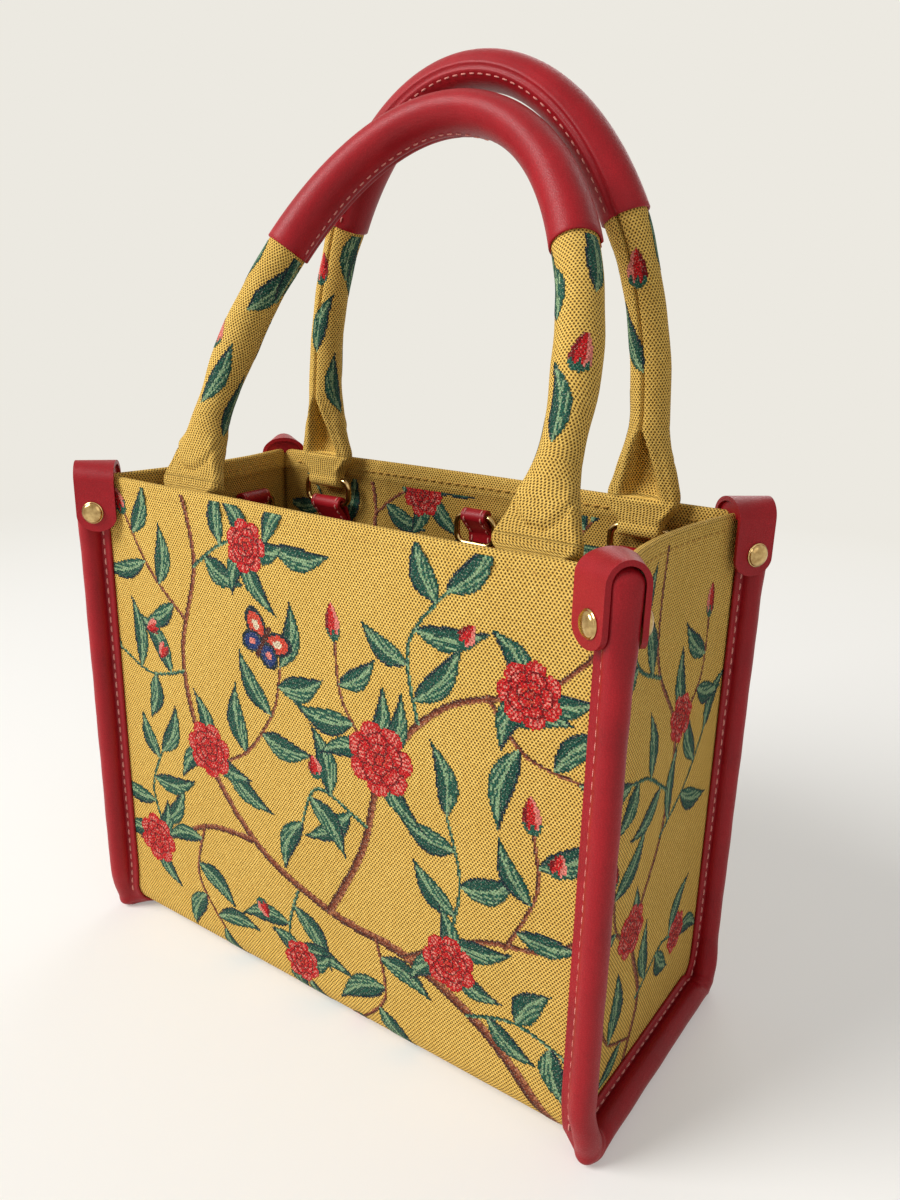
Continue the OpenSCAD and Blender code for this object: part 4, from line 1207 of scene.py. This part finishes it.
def small_design(loom, put, seed):
    """Climbing stem for a narrow face."""
    loom.branch(way(put, (-20, 4), (-10, 34), (-18, 66), (2, 96), (8, 130), (-8, 160), (-2, 196)), 2.6, 1.5)
    sprays = [((-12, 36), (8, 46), (26, 40)), ((-16, 60), (-32, 74), (-36, 92)), ((0, 94), (20, 104), (34, 122)),
              ((8, 128), (26, 144), (30, 166)), ((-6, 154), (-26, 164), (-32, 184)),
              ((-14, 20), (-32, 30), (-38, 44)), ((4, 110), (-14, 122), (-28, 126))]
    for k, path in enumerate(sprays):
        loom.spray(way(put, *path), 25, 8.0, 12, seed + k, "bud" if k % 2 else "leaf")
    for x, z, r in ((-20, 68, 10), (12, 134, 9), (24, 42, 8.5)):
        loom.blossom(put(x, z), r, phase=z)


# How far the motifs keep from seams and rims, and how much narrower those of the lining are
PANEL_IN, RIM_IN, LINING_IN, LINING_RIM_IN, LINING_SHARE, LINING_DROP = 5.0, 2.0, 8.0, 1.0, 0.94, 4.0
SIDE_IN, SIDE_LOW, INNER_IN, INNER_LOW, FOLD_IN = 4.0, 6.0, 3.0, 10.0, 2.0


def weave_body():
    panel = Loom((-HALF_W + PANEL_IN, RIM_IN), (HALF_W - PANEL_IN, PANEL_L - RIM_IN))
    big_design(panel, lambda x, z: (x, BODY_H - z), 11)
    big_design(panel, lambda x, z: (-x, PANEL_L - BODY_H + z), 40)
    shown = panel.weave("Panel_motifs", lambda u, v, lift: panel_point(u, v, -lift, 0.0), "bag", "tapestry")
    rim = HEM_L + LINING_RIM_IN
    inside = Loom((-HALF_W + LINING_IN, rim), (HALF_W - LINING_IN, PANEL_L - rim))
    big_design(inside, lambda x, z: (-x * LINING_SHARE, BODY_H - LINING_DROP - z), 71)
    big_design(inside, lambda x, z: (x * LINING_SHARE, PANEL_L - BODY_H + LINING_DROP + z), 90)
    within = inside.weave("Lining_motifs", lambda u, v, lift: panel_point(u, v, INNER_OFF + lift), "bag", "lining")
    return shown, within


def weave_side(side, name):
    outside = Loom((-HALF_D + SIDE_IN, SIDE_LOW), (HALF_D - SIDE_IN, BODY_H - RIM_IN))
    small_design(outside, lambda y, z: (side * y, z), 130 + side)
    outside.ink[np.abs(outside.u) > side_half(LINING_OFF, outside.v) - FOLD_IN] = NONE
    shown = outside.weave(f"Gusset_motifs_{name}", lambda u, v, lift: gusset_point(side, u, v, -lift),
                          "bag", "tapestry")
    half = INNER_HALF_D - INNER_IN
    inside = Loom((-half, INNER_LOW), (half, BODY_H - HEM_L - LINING_RIM_IN))
    small_design(inside, lambda y, z: (-side * y, z), 150 + side)
    inside.ink[np.abs(inside.u) > side_half(INNER_OFF, inside.v) - FOLD_IN] = NONE
    within = inside.weave(f"Lining_motifs_{name}", lambda u, v, lift: gusset_point(side, u, v, INNER_OFF + lift),
                          "bag", "lining")
    return shown, within


def weave_handle(which):
    loom = Loom((0, 0), (2 * PI * TUBE_R, HANDLE_L))
    quarter = PI * TUBE_R / 2
    grip = arch_along(GRIP_FROM)
    motifs = [(3.0, 44, 100, "leaf"), (3.3, 66, 80, "bud"), (2.6, 84, 105, "leaf"), (1.0, 60, 75, "leaf"),
              (0.9, 88, 100, "bud"), (2.0, 34, 95, "leaf"), (1.9, 92, 85, "leaf"), (3.7, 92, 95, "leaf")]
    for around, along, degrees, kind in motifs:
        for end in (0, 1):
            base = (around * quarter, HANDLE_L - along if end else along)
            angle = math.radians(-degrees if end else degrees)
            if kind == "leaf":
                loom.leaf(base, angle, 27, 8.5, 0.08)
            else:
                loom.bud(base, angle, 13, 8)
    loom.ink[:, (loom.v[0] > grip - 1) & (loom.v[0] < HANDLE_L - grip + 1)] = NONE
    loom.ink[:, (loom.v[0] < 14) | (loom.v[0] > HANDLE_L - 14)] = NONE
    return loom.weave(f"Handle_motifs_{which}", lambda u, v, lift: handle_point(u / TUBE_R, v, which, lift),
                      f"{which}_handle", "tapestry")


# Putting the bag together

def hem_row(thread, surface, low, high, count, off):
    """Row of stitches on the outer face of a cloth, or at the depth off on the inside."""
    at = np.linspace(low, high, count)
    line, above = surface(at, off), surface(at, off + (1 if off else -1))
    sew(thread, line, above - line, radius=FINE_R, length=HEM_STITCH_L, gap=HEM_STITCH_GAP)


def hem_stitches():
    """Rows of stitches below the rims, outside and, clear of the handles, inside."""
    thread = Piece()
    end, side_end, beside = HALF_W - HEM_ENDS, HALF_D - SIDE_HEM_ENDS, STRIP_W / 2 + HANDLE_CLEAR
    whole = [(-end, end)]
    clear = [(-end, -HANDLE_X - beside), (beside - HANDLE_X, HANDLE_X - beside), (HANDLE_X + beside, end)]
    for s in (HEM_STITCH, PANEL_L - HEM_STITCH):
        for off, runs in ((0.0, whole), (HEM_OFF, clear)):
            for low, high in runs:
                hem_row(thread, lambda x, depth: panel_point(x, np.full_like(x, s), depth), low, high, 60, off)
    height = BODY_H - HEM_STITCH
    for side in (-1, 1):
        for off in (0.0, HEM_OFF):
            hem_row(thread, lambda y, depth: gusset_point(side, y, np.full_like(y, height), depth),
                    -side_end, side_end, 30, off)
    return thread.build("Hem_stitches", GOLD_THREAD, "bag", "tapestry")


panel, lining = build_panel(), build_lining()
panel_motifs, lining_motifs = weave_body()
hem = hem_stitches()
for side, name in ((-1, "left"), (1, "right")):
    gusset, inner = build_gusset(side, name), build_lining_side(side, name)
    gusset_motifs, inner_motifs = weave_side(side, name)
    build_binding(side, name)
for sx, across in ((-1, "left"), (1, "right")):
    for sy, deep in ((-1, "front"), (1, "rear")):
        build_tab(sx, sy, f"{deep}_{across}")
        build_rivet(sx, sy, f"{deep}_{across}")
        matrix, _ = HANDLES[deep]
        build_ring(f"Handle_ring_{deep}_{across}", f"{deep}_handle", RING_W, RING_PITCH,
                   matrix @ move(sx * HANDLE_X, 0, RING_PITCH))
        at = move(sx * HANDLE_X, sy * PIVOT_Y, PIVOT_Z) @ turn(0 if sy > 0 else PI, "Z")
        s = LOOP_DOWN + LOOP_L / 2
        wave = float(panel_wave(sx * HANDLE_X, s if sy < 0 else PANEL_L - s))
        build_loop(f"Handle_loop_{deep}_{across}", LOOP_W, LOOP_L, at, wave)
for which in ("front", "rear"):
    build_handle(which)
    weave_handle(which)
    build_grip(which)

STRAP_SEAT_Z = BODY_H - STRAP_DOWN - LOOP_L / 2
STRAP_UP, STRAP_ACROSS = (STRAP_SEAT_Z - LIFT) / (BODY_H - LIFT), STRAP_BACK / GUSSET_HALF_D
STRAP_SLOPE = math.atan(2 * GUSSET_BOW * STRAP_UP * (1 - STRAP_ACROSS ** 2) / (BODY_H - LIFT))
STRAP_YAW = math.atan(2 * GUSSET_BOW * STRAP_UP ** 2 * STRAP_ACROSS / GUSSET_HALF_D)
STRAP_SEAT_X = HALF_W - INNER_OFF - float(bow(STRAP_BACK, STRAP_SEAT_Z))
STRAP_X = STRAP_SEAT_X - math.sin(STRAP_SLOPE) * LOOP_L / 2 - math.cos(STRAP_SLOPE) * LOOP_OUT
STRAP_BAR_Z = STRAP_SEAT_Z + math.cos(STRAP_SLOPE) * LOOP_L / 2 - math.sin(STRAP_SLOPE) * LOOP_OUT
for side, name in ((-1, "left"), (1, "right")):
    seat = Matrix.Diagonal((side, 1, 1, 1)) @ move(STRAP_X, STRAP_BACK, STRAP_BAR_Z) @ turn(-STRAP_YAW, "Z")
    build_loop(f"Strap_loop_{name}", LOOP_W, LOOP_L, seat @ turn(-STRAP_SLOPE, "Y") @ turn(-PI / 2, "Z"), SIDE_SETTLE)
    build_ring(f"Strap_ring_{name}", f"strap_ring_{name}", RING_W, STRAP_PITCH, seat @ turn(-PI / 2, "Z"))
middle = move(SMALL_RIGHT, PIVOT_Y, BODY_H - SMALL_DOWN)
middle_wave = float(panel_wave(SMALL_RIGHT, PANEL_L - SMALL_DOWN - SMALL_LOOP_L / 2))
build_loop("Middle_loop", SMALL_LOOP_W, SMALL_LOOP_L, middle, middle_wave)
build_ring("Middle_ring", "middle_ring", SMALL_RING_W, SMALL_PITCH, middle)


# Stage, light and camera

# Lengths of the stage are in metres
BACKDROP, NEAR_TONE, SKY = srgb(236, 233, 225), srgb(248, 246, 241), srgb(240, 238, 236)
FLOOR_LIFT, FLOOR_R, FLOOR_SIDES, SKY_LIGHT, LIT_PLACE = 0.3, 6.0, 64, 0.32, (0, 0, 0.14)
# Name, place, size and watts of each lamp
LAMPS = [("Window", (-1.1, -1.5, 1.5), 1.3, 57), ("Fill", (1.6, -0.9, 1.1), 1.5, 4),
         ("Back", (-0.5, 1.9, 1.3), 1.6, 12)]


def shown_rays(g):
    """1 for rays that show the backdrop: those of the camera, and mirrored or passing ones."""
    path = g.node("ShaderNodeLightPath").outputs
    mirrored = g.math("MAXIMUM", path["Is Camera Ray"], path["Is Glossy Ray"])
    return g.math("MAXIMUM", mirrored, path["Is Transmission Ray"])


def build_stage():
    """Pale floor that keeps the bag's shadow and fades into the backdrop's tone."""
    g = Graph(bpy.data.materials.new("Pale floor"))
    place = g.place()
    far = g.node("ShaderNodeVectorMath", {0: place}, operation="LENGTH").outputs["Value"]
    tone = g.mix(g.scale(far, 0.3, 1.0), NEAR_TONE, BACKDROP)
    g.set(Base_Color=NEAR_TONE, Roughness=0.7, Specular_IOR_Level=0.2)
    glow = g.node("ShaderNodeEmission", {"Color": tone, "Strength": 1.0}).outputs[0]
    share = g.times(shown_rays(g), g.scale(far, 0.25, 0.9, FLOOR_LIFT, 1.0))
    mixed = g.node("ShaderNodeMixShader", {0: share, 1: g.shader.outputs[0], 2: glow}).outputs[0]
    g.put(g.tree.nodes["Material Output"].inputs[0], mixed)
    mesh = bpy.data.meshes.new("Floor")
    ring = [(FLOOR_R * math.cos(a), FLOOR_R * math.sin(a), 0.0) for a in ring_angles(FLOOR_SIDES)]
    mesh.from_pydata(ring, [], [list(range(FLOOR_SIDES))])
    mesh.materials.append(g.owner)
    new_object("Floor", mesh)


def lamp(name, place, size, power):
    light = bpy.data.lights.new(name, "AREA")
    light.shape, light.size, light.energy = "DISK", size, power
    obj = new_object(name, light)
    obj.location = place
    obj.rotation_euler = (Vector(LIT_PLACE) - Vector(place)).to_track_quat("-Z", "Y").to_euler()


def build_light():
    """Soft sky light, a backdrop for the rays that show it, and three lamps."""
    g = Graph(bpy.data.worlds.new("Studio"), "Background")
    bpy.context.scene.world = g.owner
    g.set(Color=SKY, Strength=SKY_LIGHT)
    seen = g.node("ShaderNodeBackground", {"Color": BACKDROP, "Strength": 1.0}).outputs[0]
    mixed = g.node("ShaderNodeMixShader", {0: shown_rays(g), 1: g.shader.outputs[0], 2: seen}).outputs[0]
    g.put(g.tree.nodes["World Output"].inputs[0], mixed)
    for values in LAMPS:
        lamp(*values)


# Camera fitted to the photograph: direction, roll and place, and focal length in pixels of a 900 by 1200 image
CAM_AZIMUTH, CAM_ELEVATION, CAM_ROLL = math.radians(34.559), math.radians(17.179), math.radians(1.424)
CAM_PLACE, FOCAL_PX, IMAGE_H, SENSOR = (216.10, -281.41, 267.38), 953.76, 1200, 36.0


def build_camera():
    data = bpy.data.cameras.new("Camera")
    data.sensor_width, data.sensor_fit, data.lens = SENSOR, "AUTO", FOCAL_PX / IMAGE_H * SENSOR
    data.clip_start = 0.01
    camera = new_object("Camera", data)
    back = Vector((math.sin(CAM_AZIMUTH) * math.cos(CAM_ELEVATION), -math.cos(CAM_AZIMUTH) * math.cos(CAM_ELEVATION),
                   math.sin(CAM_ELEVATION)))
    right = Vector((math.cos(CAM_AZIMUTH), math.sin(CAM_AZIMUTH), 0))
    up = back.cross(right)
    c, s = math.cos(CAM_ROLL), math.sin(CAM_ROLL)
    axes = Matrix((c * right + s * up, c * up - s * right, back)).transposed()
    camera.matrix_world = Matrix.Translation(Vector(CAM_PLACE) * MM) @ axes.to_4x4()
    bpy.context.scene.camera = camera


build_stage()
build_light()
build_camera()
bpy.context.scene.view_settings.view_transform = "Standard"
